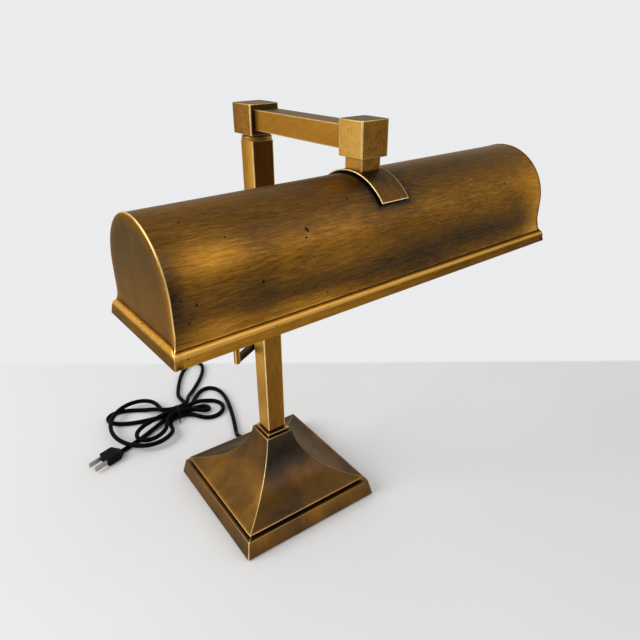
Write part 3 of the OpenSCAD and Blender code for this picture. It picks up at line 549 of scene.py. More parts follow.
def softened(path, step, reach, fixed=20.0, fade=40.0):
    # each point becomes the bell-weighted mean of its neighbours, less so towards the two fixed ends
    half = int(reach / step / 2)
    bell = np.hanning(2 * half + 3)[1:-1]
    padded = np.concatenate([np.repeat(path[:1], half, 0), path, np.repeat(path[-1:], half, 0)])
    mean = np.stack([np.convolve(padded[:, k], bell / bell.sum(), "valid") for k in range(3)], -1)
    at = np.arange(len(path)) * step
    return path + (mean - path) * rising(np.minimum(at, at[-1] - at), fixed, fade)[:, None]


def tubeSkin(path, section, up=(0.0, 0.0, 1.0)):
    # a section of (across, upright) carried along a path and kept upright
    way = unit(np.gradient(path, axis=0))
    across = unit(np.cross(way, up))
    upright = np.cross(across, way)
    return path[:, None] + across[:, None] * section[None, :, :1] + upright[:, None] * section[None, :, 1:]


def flatFlexSection(spec):
    # two round cores side by side: an ellipse pinched at the middle of its width
    angle = fullTurn(spec["around"])
    tall = spec["width"] / 2 * np.sin(angle)
    thin = spec["thick"] / 2 * np.cos(angle) * (1.0 - spec["pinch"] * hump(tall, 0, spec["pinchHalf"]))
    return stacked(thin, tall)


route = softened(evenly(cordRoute(cordSpec), cordSpec["step"]), cordSpec["step"], cordSpec["soften"])
cord = makePiece("mains_cord", [skin(tubeSkin(route, flatFlexSection(cordSpec)))], "blackCord", "stand",
                 ("cord_lead", "cord_hank"))

tieSpec = dict(
    halfY=8.55, halfZ=7.15, middleZ=7.9, width=4.6, thick=0.9, power=3.2,
    # twisted ends: radius of the wire and of the twist, turns, length, drift, overlap, height and drop
    wire=0.55, twist=0.6, turns=2.75, tail=11.0, drift=3, lap=0.2, tailZ=7.5, drop=5.5,
)


def makeTie(spec):
    # a rounded band round the strands, |y/a|^n + |z/b|^n = 1, with a twisted pair of ends
    t = fullTurn(96)
    y, z = (np.sign(v) * np.abs(v) ** (2 / spec["power"]) for v in (np.cos(t), np.sin(t)))
    ring = softCorners([(-1, -1), (1, -1), (1, 1), (-1, 1)], 0.4, margin=0.05)[0]
    out = ring[:, 1] * spec["thick"] / 2
    band = stacked(ring[:, 0] * spec["width"] / 2, y[:, None] * (spec["halfY"] + out),
                   spec["middleZ"] + z[:, None] * (spec["halfZ"] + out))
    along = np.linspace(0, 1, 40)
    angle = fullTurn(8)
    dot = spec["wire"] * stacked(np.cos(angle), np.sin(angle))
    skins = [skin(onTable(band), closed=True)]
    for phase in (0.0, math.pi):
        spin = along * 2 * math.pi * spec["turns"] + phase
        path = stacked(spec["twist"] * np.cos(spin) - spec["drift"] * along,
                       spec["lap"] - spec["halfY"] - spec["tail"] * along,
                       spec["tailZ"] + spec["twist"] * np.sin(spin) - spec["drop"] * along ** 2)
        skins.append(skin(onTable(tubeSkin(path, dot, up=(1.0, 0.0, 0.3)))))
    return makePiece("twist_tie", skins, "blackPlug", "stand", ("hank_tie",))


def onPlug(points):
    return turned(points, math.radians(plugSpec["turn"])) + (*plugSpec["spot"], 0.0)


def makePlug(spec):
    # a flat body whose half width and half height follow smooth steps along it, with grip ridges
    length, width, height, rear, rearZ = pick(spec, "length width height rear rearHalfZ")
    line, wear = withStations(*barLine(0, length, spec["endRound"]))
    core = 10.0  # half width and height of the plain box that is drawn to shape
    a, b, s = boxSkin(core, core, line * (0, 1), wear, spec["edgeRound"], margin=0.6)[:3]
    grow = ease(s / spec["taper"])
    start, end = spec["ridged"]
    ridge = np.cos(2 * math.pi * (s - spec["crest"]) / spec["pitch"]) * ((s > start) & (s < end)) - 1
    inset = line[:, 0][:, None]
    halfA = rear / 2 + (width - rear) / 2 * grow - inset + spec["ridge"] * ridge
    halfB = rearZ + (height / 2 - rearZ) * grow - inset * spec["endShare"] - spec["gap"]
    y = np.sign(a) * (halfA - core) + a
    z = height / 2 - spec["rearDrop"] * (1 - grow) + np.sign(b) * (halfB - core) + b
    body = makePiece("mains_plug", [skin(onPlug(stacked(s, y, z)))], "blackPlug", "stand",
                     ("plug_body",))
    long, thick, tall = spec["blade"]
    deep, back = spec["bevel"]
    corners = [(1.2, 0), (0, 0), (0, long - back), (deep, long)]
    tip, wear = softCorners(corners, 0.25, closed=False, margin=0.2)
    a, b, s = boxSkin(thick / 2, tall / 2, tip * (0.5, 1), wear, radius=0.2, margin=0.15)[:3]
    skins = []
    for off in (-spec["bladeGap"] / 2, spec["bladeGap"] / 2):
        skins.append(skin(onPlug(stacked(length + s, off + a, height / 2 + b))))
    return body, makePiece("plug_pins", skins, "pinMetal", "stand", ("plug_blades",))


tie = makeTie(tieSpec)
plug, pins = makePlug(plugSpec)
print("cord laid:", round(float(runOf(route)[-1])), "mm")

# base: skirt, crown and collar, square rings carried up a side view
# painted light and shade is given for faces that look along x, y and z, bright is the wear of each corner of
# the side view

skirtSpec = dict(
    foot=83.25, top=79.1, low=1.0, high=20.3, inner=72.9, web=17.3, hole=42.0,
    round=[0.8, 0.6, 0.4, 0.4, 0.4, 0.4], bright=[0.15, 0.5, 0, 0, 0, 0], polishAndShade=(0.30, 0.40, 0.2),
    # painted light gained up the side
    gain=0.10, gainOver=(6, 14),
)
crownSpec = dict(
    edge=75.5, groove=72.0, low=20.3, edgeLow=23.8, edgeHigh=25.0, neck=16.5, neckZ=82.8,
    sag=14.5, shoulder=9.95, round=[0, 0.3, 0.4, 0.5, 0], wear=0.85,
    # painted light and shade of the four faces, darker up the left half and up the front's other half
    left=0.46, right=0.14, front=0.30, back=0.08, leftLoss=0.12, frontLoss=0.20, lossOver=(32, 24),
    # painted highlight at the lower edge and painted shade in the groove
    edgeGain=0.18, gainOver=(-4, 3.5), grooveLoss=0.6,
)
collarSpec = dict(
    shoulder=9.95, plate=13.5, low=82.8, plateLow=84.3, plateHigh=86.1, high=88.8, sink=0.3,
    bright=[0, 0, 0, 0.3, 0.8, 0, 0, 0], polishAndShade=0.42, shadow=-0.5,
)
capIn = 2.0  # how far a tower's end faces reach in
nearly = 0.01  # tells heights apart


def squareTower(corners, radius, bright, closed=False, ringRadius=0.6):
    # square rings whose half width and height follow a side view with softened corners
    line, wear = softCorners(corners, radius, closed)
    points = arcSteps + 3
    share = np.repeat(bright, points) if closed else np.pad(np.repeat(bright[1:-1], points), 1)
    a, b, s, worn = boxSkin(0.0, 0.0, line * (-1, 1), wear * share, radius=ringRadius)
    return stacked(a, b, s), worn


def frontCornerGlint(grid, other=0.4):
    # full wear and a painted highlight on the front-left corner, less on the other three
    return np.where((grid[..., 0] < 0) & (grid[..., 1] < 0), 1.0, other)


def frontGlow(grid, amount):
    # painted light: faces that look sideways get lighter towards the front corner and darker away from it
    return faceShade(grid, amount, 0.0, 0.0) * frontCornerGlint(grid, -1.0)


def makeSkirt(spec):
    foot, top, low, high, inner, web, hole = pick(spec, "foot top low high inner web hole")
    corners = [(foot, low), (top, high), (hole, high), (hole, web), (inner, web), (inner, low)]
    grid, worn = squareTower(corners, spec["round"], spec["bright"], closed=True)
    # painted light and shade by face, lighter up the side
    rubAndShade = faceShade(grid, *spec["polishAndShade"], closed=True) + spec["gain"] * rising(grid[..., 2], *spec["gainOver"])
    cast = skin(grid, worn * frontCornerGlint(grid), rubAndShade, closed=True)
    makePiece("base_skirt_cast", [cast], "baseBrass", "stand", ("base_skirt",))


def makeCrown(spec):
    # the hollow curve is an arc through the lower edge and the neck with the given sag
    edge, groove, edgeLow, sag, neckZ = pick(spec, "edge groove edgeLow sag neckZ")
    low, high = np.array([edge, spec["edgeHigh"]]), np.array([spec["neck"], neckZ])
    chord = high - low
    length = np.linalg.norm(chord)
    radius = length ** 2 / (8 * sag) + sag / 2
    out = np.array([chord[1], -chord[0]]) / length
    centre = (low + high) / 2 + out * (radius - sag)
    a0, a1 = (math.atan2(*(p - centre)[::-1]) % (2 * math.pi) for p in (low, high))
    angle = np.linspace(a0, a1, 50)[1:-1]
    curve = centre + radius * stacked(np.cos(angle), np.sin(angle))
    corners = [(groove, spec["low"]), (groove, edgeLow), (edge, edgeLow), low, curve[0]]
    foot, footWear = softCorners(corners, spec["round"], closed=False, margin=0.4)
    corners = [curve[-1], high, (spec["shoulder"] - 1, neckZ)]
    head, headWear = softCorners(corners, 0.5, closed=False, margin=0.7)
    footWear[foot[:, 1] < edgeLow + 1.5 * spec["round"][2]] = 0.0
    line = np.concatenate([foot[:-1], curve, head[1:]])
    wear = np.concatenate([footWear[:-1], np.zeros(len(curve)), headWear[1:]])
    a, b, s, worn = boxSkin(0.0, 0.0, line * (-1, 1), wear, radius=0.6)
    worn = worn * np.where(s < edgeLow - nearly, 0.0, 1.0)
    grid = stacked(a, b, s)
    half = np.maximum(np.abs(a), np.abs(b))
    # painted light and shade by face, darker up the left and front, painted shade in the groove and a painted
    # highlight at the lower edge
    left, right, front, back = pick(spec, "left right front back")
    rubAndShade = np.where(np.abs(a) > np.abs(b), np.where(a < 0, left, right), np.where(b < 0, front, back))
    loss = np.where(a < 0, spec["leftLoss"], np.where(b < 0, spec["frontLoss"], 0.0))
    rubAndShade = rubAndShade - loss * rising(s, *spec["lossOver"]) - np.where(s < edgeLow + nearly, spec["grooveLoss"], 0.0)
    rubAndShade = rubAndShade + spec["edgeGain"] * rising(half - edge, *spec["gainOver"])
    worn = worn * frontCornerGlint(grid) * spec["wear"]
    makePiece("base_crown_cast", [skin(grid, worn, rubAndShade)], "baseBrass", "stand", ("base_crown",))


def makeCollar(spec):
    shoulder, plate, low, high = pick(spec, "shoulder plate plateLow plateHigh")
    foot, head = spec["low"] - spec["sink"], spec["high"]
    corners = [(shoulder - capIn, foot), (shoulder, foot), (shoulder, low), (plate, low), (plate, high),
               (shoulder, high), (shoulder, head), (shoulder - capIn, head)]
    grid, worn = squareTower(corners, 0.3, spec["bright"], ringRadius=0.4)
    onPlate = (grid[..., 2] > low - nearly) & (grid[..., 2] < high + nearly)
    rubAndShade = np.where(onPlate, spec["polishAndShade"], spec["shadow"])
    makePiece("collar_plate", [skin(grid, worn * onPlate, rubAndShade)], "baseBrass", "stand", ("neck_collar",))


makeSkirt(skirtSpec)
makeCrown(crownSpec)
makeCollar(collarSpec)
print("base built")

# column and swivel ring

columnSpec = dict(
    half=10.7, inner=9.3, low=88.8, high=401.9, round=[0, 0.2, 0.5, 0.6, 0.2, 0], ringRadius=0.8,
    bright=[0, 0, 0.3, 0.6, 0, 0], polishAndShade=(0.99, 0.56, 0.3), stations=40, margin=3,
    # painted shade up the column where it mirrors the shade above, and a painted glow at its front corner
    # there
    highShade=(-0.20, -0.23, 0.0), highOver=(150, 180), glow=0.17,
)
ringSpec = dict(radius=13.4, waist=12.3, bore=5.2, low=401.9, high=407.2, lip=3.1, slope=0.5,
                round=0.4, wear=0.5, polishAndShade=0.6, shadow=-0.1)


def makeColumn(spec):
    half, inner, low, high, count, margin = pick(spec, "half inner low high stations margin")
    corners = [(inner, low + capIn), (inner, low), (half, low), (half, high), (inner, high),
               (inner, high - capIn)]
    grid, worn = squareTower(corners, spec["round"], spec["bright"], ringRadius=spec["ringRadius"])
    gap = np.argmax(np.diff(grid[:, 0, 2])) + 1
    more = np.repeat(grid[gap:gap + 1], count, 0)
    more[..., 2] = np.linspace(low + margin, high - margin, count)[:, None]
    grid = np.insert(grid, [gap] * count, more, axis=0)
    worn = np.insert(worn, [gap] * count, np.repeat(worn[gap:gap + 1], count, 0), axis=0)
    # painted light and shade by face, darker high up, with a painted glow at the front corner
    change = faceShade(grid, *spec["highShade"]) + frontGlow(grid, spec["glow"])
    rubAndShade = faceShade(grid, *spec["polishAndShade"]) + change * rising(grid[..., 2], *spec["highOver"])
    makePiece("column_tube", [skin(grid, worn, rubAndShade)], "columnBrass", "stand", ("column",))


def makeSwivelRing(spec):
    radius, waist, bore, low, high, lip = pick(spec, "radius waist bore low high lip")
    corners = [(bore, low), (radius, low), (radius, low + lip), (waist, low + lip + spec["slope"]),
               (waist, high), (bore, high)]
    line, wear = softCorners(corners, spec["round"])
    rubAndShade = np.where(line[:, 0] > waist + spec["round"], spec["polishAndShade"], spec["shadow"])[:, None]
    grid = stacked(*roundSkin(line, 96))
    worn = wear[:, None] * spec["wear"]
    makePiece("swivel_collar", [skin(grid, worn, rubAndShade, closed=True)], "columnBrass", "stand", ("swivel_ring",))


makeColumn(columnSpec)
makeSwivelRing(ringSpec)
print("column built")

# arm with its two knuckle blocks

armSpec = dict(half=(10.2, 8.5), run=(-129.6, -13.0), middle=(0, 0, 420.0), lies=True, cap=3, wornFrom=-200,
               wear=0.7, polishAndShade=(0.71, 0.4, 0.16))
blockSpec = dict(
    low=407.25, high=432.75, border=2.2, seam=0.18, coverThick=1.8, coverLift=0.1, coverSink=0.02,
    capIn=3, round=[0, 0.5, 0.5, 0.15, 0.1, 0], bright=[0, 0.5, 0.8, 0, 0, 0], ringRadius=0.9,
    glow=0.08, otherWear=0.6,
    # half width and painted light and shade of the faces of each block
    rear=(14.5, (0.56, 0.22, 0.20)), front=(12.5, (0.98, 0.52, 0.07)),
)


def makeBar(name, node, finish, body, place, spec):
    # a straight bar that runs along z, or along y if it lies
    line, wear = barLine(*spec["run"], cap=spec["cap"])
    a, b, s, worn = boxSkin(*spec["half"], line, wear * (line[:, 1] > spec["wornFrom"]))
    grid = np.stack([a, s, b] if spec["lies"] else [a, b, s], -1) + spec["middle"]
    # painted light and shade by face
    rubAndShade = faceShade(grid, *spec["polishAndShade"])
    makePiece(name, [skin(place(grid), worn * spec["wear"], rubAndShade)], finish, body, (node,))


def makeBlock(end, place, spec):
    # a block with a recess in its top, and the cover plate let into it
    half, polishAndShade = spec[end]
    low, high, capped = pick(spec, "low high capIn")
    inner, floor = half - spec["border"], high - spec["coverThick"]
    corners = [(half - capped, low), (half, low), (half, high), (inner, high), (inner, floor),
               (inner - capped, floor)]
    grid, worn = squareTower(corners, spec["round"], spec["bright"], ringRadius=spec["ringRadius"])
    # painted highlight on the front-left corner, painted light and shade by face
    worn = worn * frontCornerGlint(grid, spec["otherWear"])
    rubAndShade = faceShade(grid, *polishAndShade) + frontGlow(grid, spec["glow"])
    makePiece(end + "_block_cast", [skin(place(grid), worn, rubAndShade)], "blockBrass", "arm", (end + "_block",))
    side, top = inner - spec["seam"], high - spec["coverSink"]
    floor = floor + spec["coverLift"] - spec["coverSink"]
    corners = [(side - capped, floor), (side, floor), (side, top), (side - capped, top)]
    grid = squareTower(corners, 0.2, [0, 0, 0, 0], ringRadius=0.4)[0]
    plate = skin(place(grid), 0.0, polishAndShade[2])
    makePiece(end + "_cover_plate", [plate], "blockBrass", "arm", (end + "_cover",))


makeBar("arm_bar", "arm_tube", "armBrass", "arm", onArm, armSpec)
makeBlock("rear", onArm, blockSpec)
makeBlock("front", onShade, blockSpec)
print("arm built")

# shade: neck, strap, barrel, end caps and rails

shadeSpec = dict(
    domeZ=354.2, domeR=42.3, rimTop=328.3, rimLow=318.9, coveHigh=12.6, sheet=1.2,
    halfLength=172.0, rimHalf=48.5, rimLean=1.5, rimThick=4.5, rimEdge=0.6, endHalf=177.8,
    capFace=173.6, capLip=0.4, capRound=1.1, capFlare=2.2, middleFlare=0.5, flareHigh=9.0,
    flareOver=(37, 7), footThin=0.8, capFoot=45.7, crease=45.0, seam=0.02, stations=173,
    # the sheet is drawn out to the end plates from here, and stops short of their backs
    straightTo=140, short=0.1,
    # beads on top of the rim: width, height, rise above the rim, and the painted highlight by the turn from
    # face to top
    railBead=(2.9, 5.6, 0.5), endBead=(3.4, 6.8, 2.2), shineAt=[0, 0.3, 0.6, 1.0, 1.57],
    railShine=[0.44, 0.50, 1.32, 0.48, 0.08], endShine=[0.24, 0.38, 1.04, 0.86, 0.46],
    # painted light and shade of the rim's edge and front, of its back, and how it falls along the rails
    faceShine=[0.3, 0.4, 0.46, 0.46, 0.46, 0.46, 0.5], backShine=0.2, railTone=(0.08, -0.0012),
    # painted reflection bands, light and dark, by the distance from the crest along the sheet, and the polish
    # inside
    bandAt=[0, 15, 28, 43, 54, 63, 70, 77, 82, 88, 93, 95.5],
    band=[0.25, 0.28, 0.38, 0.48, 0.48, 0.41, 0.34, 0.22, 0.24, 0.40, 0.44, 0.22], inside=0.30,
    # patches on the front, painted light and shade mixed with patina: place along the shade, distance from
    # the crest, half sizes, polish gained
    patches=[(-142, 46, 16, 10, 0.20), (-148, 86, 22, 10, 0.42), (174, 82, 24, 44, 0.52),
             (80, 74, 60, 9, -0.12), (-118, 70, 15, 10, -0.12), (22, 90, 40, 8, -0.20),
             (-40, 68, 32, 14, 0.13), (75, 18, 75, 15, -0.11), (-95, 38, 32, 8, -0.09),
             (-171, 58, 8, 18, -0.34), (-130, 10, 60, 18, 0.12), (-85, 89, 34, 7, 0.30)],
    # painted shadow and grime round the strap and a wider painted shade: polish lost and reach
    grime=(0.45, 2.4), haze=(0.12, 14),
)
strapSpec = dict(outer=44.8, thick=2.0, halfWidth=12.7, angle=52.0, topFrom=0.4,
                 # painted shade underneath and on the crest under the block, and painted light gained towards
                 # the ends
                 under=-0.1, crest=0.05, gain=0.29, gainOver=(0.2, 2 / 3))
neckSpec = dict(half=(9.0, 9.0), run=(397.6, 407.2), middle=(0, 0, 0), lies=False, cap=2, wornFrom=400,
                wear=0.8, polishAndShade=(0.84, 0.48, 0.3))
capSpec = dict(
    # rings of the plate from behind its lip in to the middle line; the polish, a painted highlight along the
    # lip that fades inwards, starts at the lip, and behind it stands the painted shade of each end
    inset=[0.4, 0.02, 0.0, 0.06, 0.25, 0.6, 1.2, 2.4, 5.0, 9.0, 9.0, 9.0, 9.0],
    rolled=[1.2, 1.2, 1.18, 1.0, 0.68, 0.36, 0.14, 0, 0, 0, 0, 0, 0],
    narrow=[1, 1, 1, 1, 1, 1, 1, 1, 1, 1, 0.6, 0.2, 0.001],
    worn=[0, 0, 0.3, 1, 1, 0.35, 0, 0, 0, 0, 0, 0, 0],
    polishAndShade=[0.85, 0.85, 0.64, 0.54, 0.47, 0.36, 0.29, 0.28, 0.28, 0.28], behind={-1: 0.1, 1: 0.6},
    # painted shade up the plate, close to the rim and towards the back, and painted light just above the rim
    gain=0.08, upLoss=0.17, upOver=(8, 50), rimLoss=0.08, rimNear=(0, 1.3), filletGain=0.03,
    filletNear=(4.5, 3.0), backLoss=0.04, backOver=20,
    # end bar: stations, where it goes down to the rails, painted shade of its face and light of its top
    barAt=[0.5, 0.9, 0.93, 0.96, 0.984, 0.9998, 1.0], dropOver=(0.92, 0.06), barTone=(-0.14, 0.02),
    returnAt=[0, 0.02, 0.5, 0.86, 0.998, 1.0], mitreFrom=0.99, wear=0.8,
    # a dark stain low on the front corners
    stain=0.5, stainAlong=(0.45, 0.35), stainUp=(1.6, 1.8),
)


def carried(stations, section):
    # a section of (y, z) repeated at stations along x
    return stacked(stations[:, None], section[:, 0], section[:, 1])


def makeStrap(spec):
    # a flat bar bent round the dome: station is the angle, b runs outwards
    angle = math.radians(spec["angle"])
    middle = spec["outer"] - spec["thick"] / 2
    line, wear = withStations(*barLine(-angle * middle, angle * middle, cap=0.8))
    a, b, s, worn = boxSkin(spec["halfWidth"], spec["thick"] / 2, line, wear, radius=0.45, margin=0.4)
    turn = s / middle
    grid = stacked(a, (middle + b) * np.sin(turn), shadeSpec["domeZ"] + (middle + b) * np.cos(turn))
    # painted shade on the hidden sides and near the neck, painted light towards the ends
    hidden = (b < spec["topFrom"]) | (np.abs(turn) > angle - 0.001)
    top = spec["crest"] + spec["gain"] * rising(np.abs(turn) / angle, *spec["gainOver"])
    rubAndShade = np.where(hidden, spec["under"], top)
    worn = worn * (b > spec["topFrom"])
    makePiece("saddle_strap_bent", [skin(onShade(grid), worn, rubAndShade)], "blockBrass", "shade", ("saddle_strap",))


def barrelOutline(spec, inset, foot):
    # end view over the dome from foot to foot; the cove is a quarter ellipse from the foot up to the side
    t = np.linspace(math.pi / 2, 0, 15)
    out, high = foot - spec["domeR"], spec["rimTop"] + spec["coveHigh"]
    cove = stacked(foot - out * np.cos(t) - inset, high - spec["coveHigh"] * np.sin(t))
    r = spec["domeR"] - inset
    up = np.linspace(high, spec["domeZ"], 9)[1:-1]
    side = stacked(r, up)
    turn = np.linspace(0, math.pi, 81)
    dome = stacked(r * np.cos(turn), spec["domeZ"] + r * np.sin(turn))
    flip = (-1, 1)
    return np.concatenate([cove * flip, side * flip, dome[::-1], side[::-1], cove[::-1]])


def tightEnds(half, count, tight=0.02):
    # even stations with one more just inside each end, so that the end faces don't bend the shading
    return np.concatenate([[-half], np.linspace(tight - half, half - tight, count), [half]])


def lipPlace(spec, y, z):
    # how far out an end plate lies and how far its soft edge is set back: a quarter ellipse sweeps its foot
    # out, a little in the middle and up to the mitre at the two corners
    down = np.clip((spec["rimTop"] + spec["flareHigh"] - z) / spec["flareHigh"], 0, 1)
    corner = rising(np.abs(y), *spec["flareOver"])
    reach = spec["middleFlare"] + (spec["capFlare"] - spec["middleFlare"]) * corner
    flare = reach * (1 - np.sqrt(1 - down ** 2))
    return spec["capFace"] + flare, spec["capRound"] * (1 - spec["footThin"] * down)


def makeBarrel(spec):
    outer = barrelOutline(spec, 0.0, spec["crease"])
    run = runOf(outer)
    crest = np.abs(run - run[-1] / 2)
    halfLength, straightTo = pick(spec, "halfLength straightTo")
    x = tightEnds(halfLength, spec["stations"])
    # painted reflection bands across the dome
    rubAndShade = np.broadcast_to(np.interp(crest, spec["bandAt"], spec["band"]), (len(x), len(outer))).copy()
    front = np.where(outer[:, 0] < 0, 1.0, 0.0)
    # patches of painted light and shade mixed with patina
    for along, down, halfX, halfDown, gain in spec["patches"]:
        rubAndShade += gain * hump(x, along, halfX)[:, None] * (front * hump(crest, down, halfDown))
    # painted shadow round the strap, with grime
    besideX = np.abs(x - saddleOff) - strapSpec["halfWidth"]
    besideY = crest - math.radians(strapSpec["angle"]) * spec["domeR"]
    gap = np.maximum(np.maximum(besideX[:, None], besideY[None]), 0.0)
    (grime, shadowReach), (haze, wideShadeReach) = pick(spec, "grime haze")
    rubAndShade -= grime * np.exp(-gap / shadowReach) + haze * hump(gap, 0, wideShadeReach)
    inner = barrelOutline(spec, spec["sheet"], spec["crease"])[::-1]
    rubAndShade = np.concatenate([rubAndShade, np.full((len(x), len(inner)), spec["inside"])], 1)
    grid = carried(x, np.concatenate([outer, inner]))
    face, setBack = lipPlace(spec, grid[..., 1], grid[..., 2])
    drawn = np.sign(x) * rising(np.abs(x), straightTo, halfLength - straightTo)
    grid[..., 0] += drawn[:, None] * (face - setBack - spec["short"] - halfLength)
    sheet = skin(onBarrel(grid), 0.0, rubAndShade)
    makePiece("shade_barrel_sheet", [sheet], "shadeBrass", "shade", ("shade_barrel",))


def rimSection(spec, face, back, low, bead, beadShine):
    # the rim cut across, as (outward, z): a soft lower edge, the leaning front, a bead and the square back;
    # the bead is a quarter ellipse
    wide, tall, rise = bead
    lift = spec["rimTop"] + rise - tall
    lean = spec["rimLean"] * (lift - spec["rimLow"]) / (spec["rimTop"] - spec["rimLow"])
    turn = np.linspace(0, math.pi / 2, 13)
    bend = turn[::3]
    edge = stacked(face - spec["rimEdge"] * (1 - np.sin(bend)), low + spec["rimEdge"] * (1 - np.cos(bend)))
    front = [(face - lean * up, low + (lift - low) * up) for up in (0.3, 0.85)]
    top = stacked(face - lean - wide * (1 - np.cos(turn)), lift + tall * np.sin(turn))
    line = np.concatenate([edge, front, top, [(back, top[-1, 1]), (back, low)]])
    # painted highlight along the bead
    shine = np.interp(turn, spec["shineAt"], beadShine)
    return line, np.concatenate([spec["faceShine"], shine, [spec["backShine"]] * 2])


def railSection(spec):
    face = spec["rimHalf"]
    back = face - spec["rimThick"] - spec["rimLean"]
    return rimSection(spec, face, back, spec["rimLow"], spec["railBead"], spec["railShine"])


def makeRails(spec):
    # the rim's section carried along the shade, with painted light brighter towards the left
    line, shine = railSection(spec)
    x = tightEnds(spec["halfLength"], spec["stations"])
    middle, fall = spec["railTone"]
    rubAndShade = shine[None] + (middle + fall * x)[:, None]
    for end, side in (("front", -1), ("back", 1)):
        grid = carried(x, line * (side, 1))
        makePiece("rim_rail_" + end, [skin(onBarrel(grid), 0.0, rubAndShade)], "railBrass", "shade", (end + "_rail",))


def mitreReach(line):
    # how far out the points of a rim section lie, with its back as far as the bead and the edge
    return np.concatenate([line[:-2, 0], line[[-3, 0], 0]])


def makeEndCap(end, side, spec, cap):
    # plate: the barrel's outline stepped in over a rolled bright edge, then drawn in to the middle line
    insets = np.array(cap["inset"]) - spec["capLip"]
    rolled, narrow, worn = (np.array(cap[k], float)[:, None] for k in ("rolled", "narrow", "worn"))
    rings = np.stack([barrelOutline(spec, inset, spec["capFoot"]) for inset in insets])
    across, z = rings[..., 0] * narrow, rings[..., 1]
    face, setBack = lipPlace(spec, across, z)
    grid = stacked(side * (face - setBack * rolled), across, z)
    # painted light and shade on the plate: a bright lip, darker up it, near the rim and towards the back
    rubAndShade = np.array([cap["behind"][side]] * 3 + cap["polishAndShade"])[:, None] + cap["gain"]
    rubAndShade = rubAndShade - cap["upLoss"] * rising(z - spec["rimTop"], *cap["upOver"])
    rise = z - spec["rimTop"] - spec["endBead"][2]
    rubAndShade = rubAndShade - cap["rimLoss"] * hump(rise, *cap["rimNear"])
    rubAndShade = rubAndShade + cap["filletGain"] * hump(rise, *cap["filletNear"])
    rubAndShade = rubAndShade - cap["backLoss"] * np.clip(across / cap["backOver"], -1, 1)
    skins = [skin(onBarrel(grid), worn, rubAndShade)]
    # end bar: the rim's section carried from side to side up to the mitres
    back, low = spec["halfLength"] + spec["seam"], spec["rimLow"] + spec["seam"]
    rail, railShine = railSection(spec)
    bar, barShine = rimSection(spec, spec["endHalf"], back, low, spec["endBead"], spec["endShine"])
    outside = (np.arange(len(bar)) < len(bar) - 2)[None] * cap["wear"]
    half = np.array(cap["barAt"])
    t = np.concatenate([-half[::-1], half])
    top = bar[:, 1] + rising(np.abs(t), *cap["dropOver"])[:, None] * (rail[:, 1] - bar[:, 1])
    grid = stacked(side * bar[:, 0], t[:, None] * mitreReach(rail), top)
    # painted shade on the bar's face, light on its top
    tone = np.where(np.arange(len(bar)) < len(spec["faceShine"]), *cap["barTone"])
    worn = (np.abs(t) > cap["mitreFrom"])[:, None] * outside
    skins.append(skin(onBarrel(grid), worn, (barShine + tone)[None]))
    # returns: the rails' section from the rails' ends out to the mitres
    t = np.array(cap["returnAt"])
    worn = (t > cap["mitreFrom"])[:, None] * outside
    out = side * (back + (mitreReach(bar) - back)[None] * t[:, None])
    middle, fall = spec["railTone"]
    # painted highlight on the bead and light falling along the rails
    rubAndShade = railShine[None] + middle + fall * side * back
    stain = hump(t, *cap["stainAlong"])[:, None] * hump(rail[:, 1] - low, *cap["stainUp"])
    for hand, shade in ((-1, rubAndShade - cap["stain"] * stain), (1, rubAndShade)):
        grid = carried(t, rail * (hand, 1))
        grid[..., 0] = out
        skins.append(skin(onBarrel(grid), worn, shade))
    makePiece("shade_end_" + end, skins, "capBrass", "shade", ("end_cap_" + end,))


makeBar("shade_neck_post", "shade_neck", "blockBrass", "shade", onShade, neckSpec)
makeStrap(strapSpec)
makeBarrel(shadeSpec)
makeRails(shadeSpec)
makeEndCap("left", -1, shadeSpec, capSpec)
makeEndCap("right", 1, shadeSpec, capSpec)
print("shade built")

# switch grip, cord bushing, and the finishes of the solids that are shown as they are

gripSpec = dict(x=-28.25, y=18.6, low=169.3, high=191.3, half=2.75, depth=2.5, wear=0.7, polishAndShade=0.62)
bushingSpec = dict(
    z=10.5, bore=3.1, face=81.0, flange=6.0,
    # the flange's side, as radius less the flange's own and station
    side=[(-0.4, 0), (0, 0.5), (0, 1.4), (-0.5, 2)],
    thick=2, long=8, wide=4.75, taper=0.75, ribs=4, ribHigh=0.28,
)


def makeGrip(spec):
    line, wear = barLine(spec["low"], spec["high"], radius=1.0, cap=1.4, margin=0.6)
    a, b, s, worn = boxSkin(spec["half"], spec["depth"], line, wear * spec["wear"], radius=0.6)
    grid = stacked(spec["x"] + a, spec["y"] + b, s)
    bar = skin(grid, worn, spec["polishAndShade"])
    makePiece("switch_grip_bar", [bar], "columnBrass", "switch", ("switch_grip",))


def makeBushing(spec):
    # a flange and a ribbed taper turned about the cord; the ribs are a cosine
    bore, face, flange, thick, long, ribHigh = pick(spec, "bore face flange thick long ribHigh")
    s = np.linspace(0, long, 40)
    ribs = ribHigh * (np.cos(2 * math.pi * spec["ribs"] * s / long) - 1)
    taper = stacked(spec["wide"] - spec["taper"] * s / long + ribs, face + thick + s)
    side = [(flange + out, face + up) for out, up in spec["side"]]
    line = np.concatenate([[(bore, face)], side, taper, [(bore, face + thick + long)]])
    x, z, y = roundSkin(line, 48)
    makePiece("cord_grommet", [skin(stacked(x, y, spec["z"] + z), closed=True)], "blackPlug", "stand",
              ("cord_bushing",))


makeGrip(gripSpec)
makeBushing(bushingSpec)

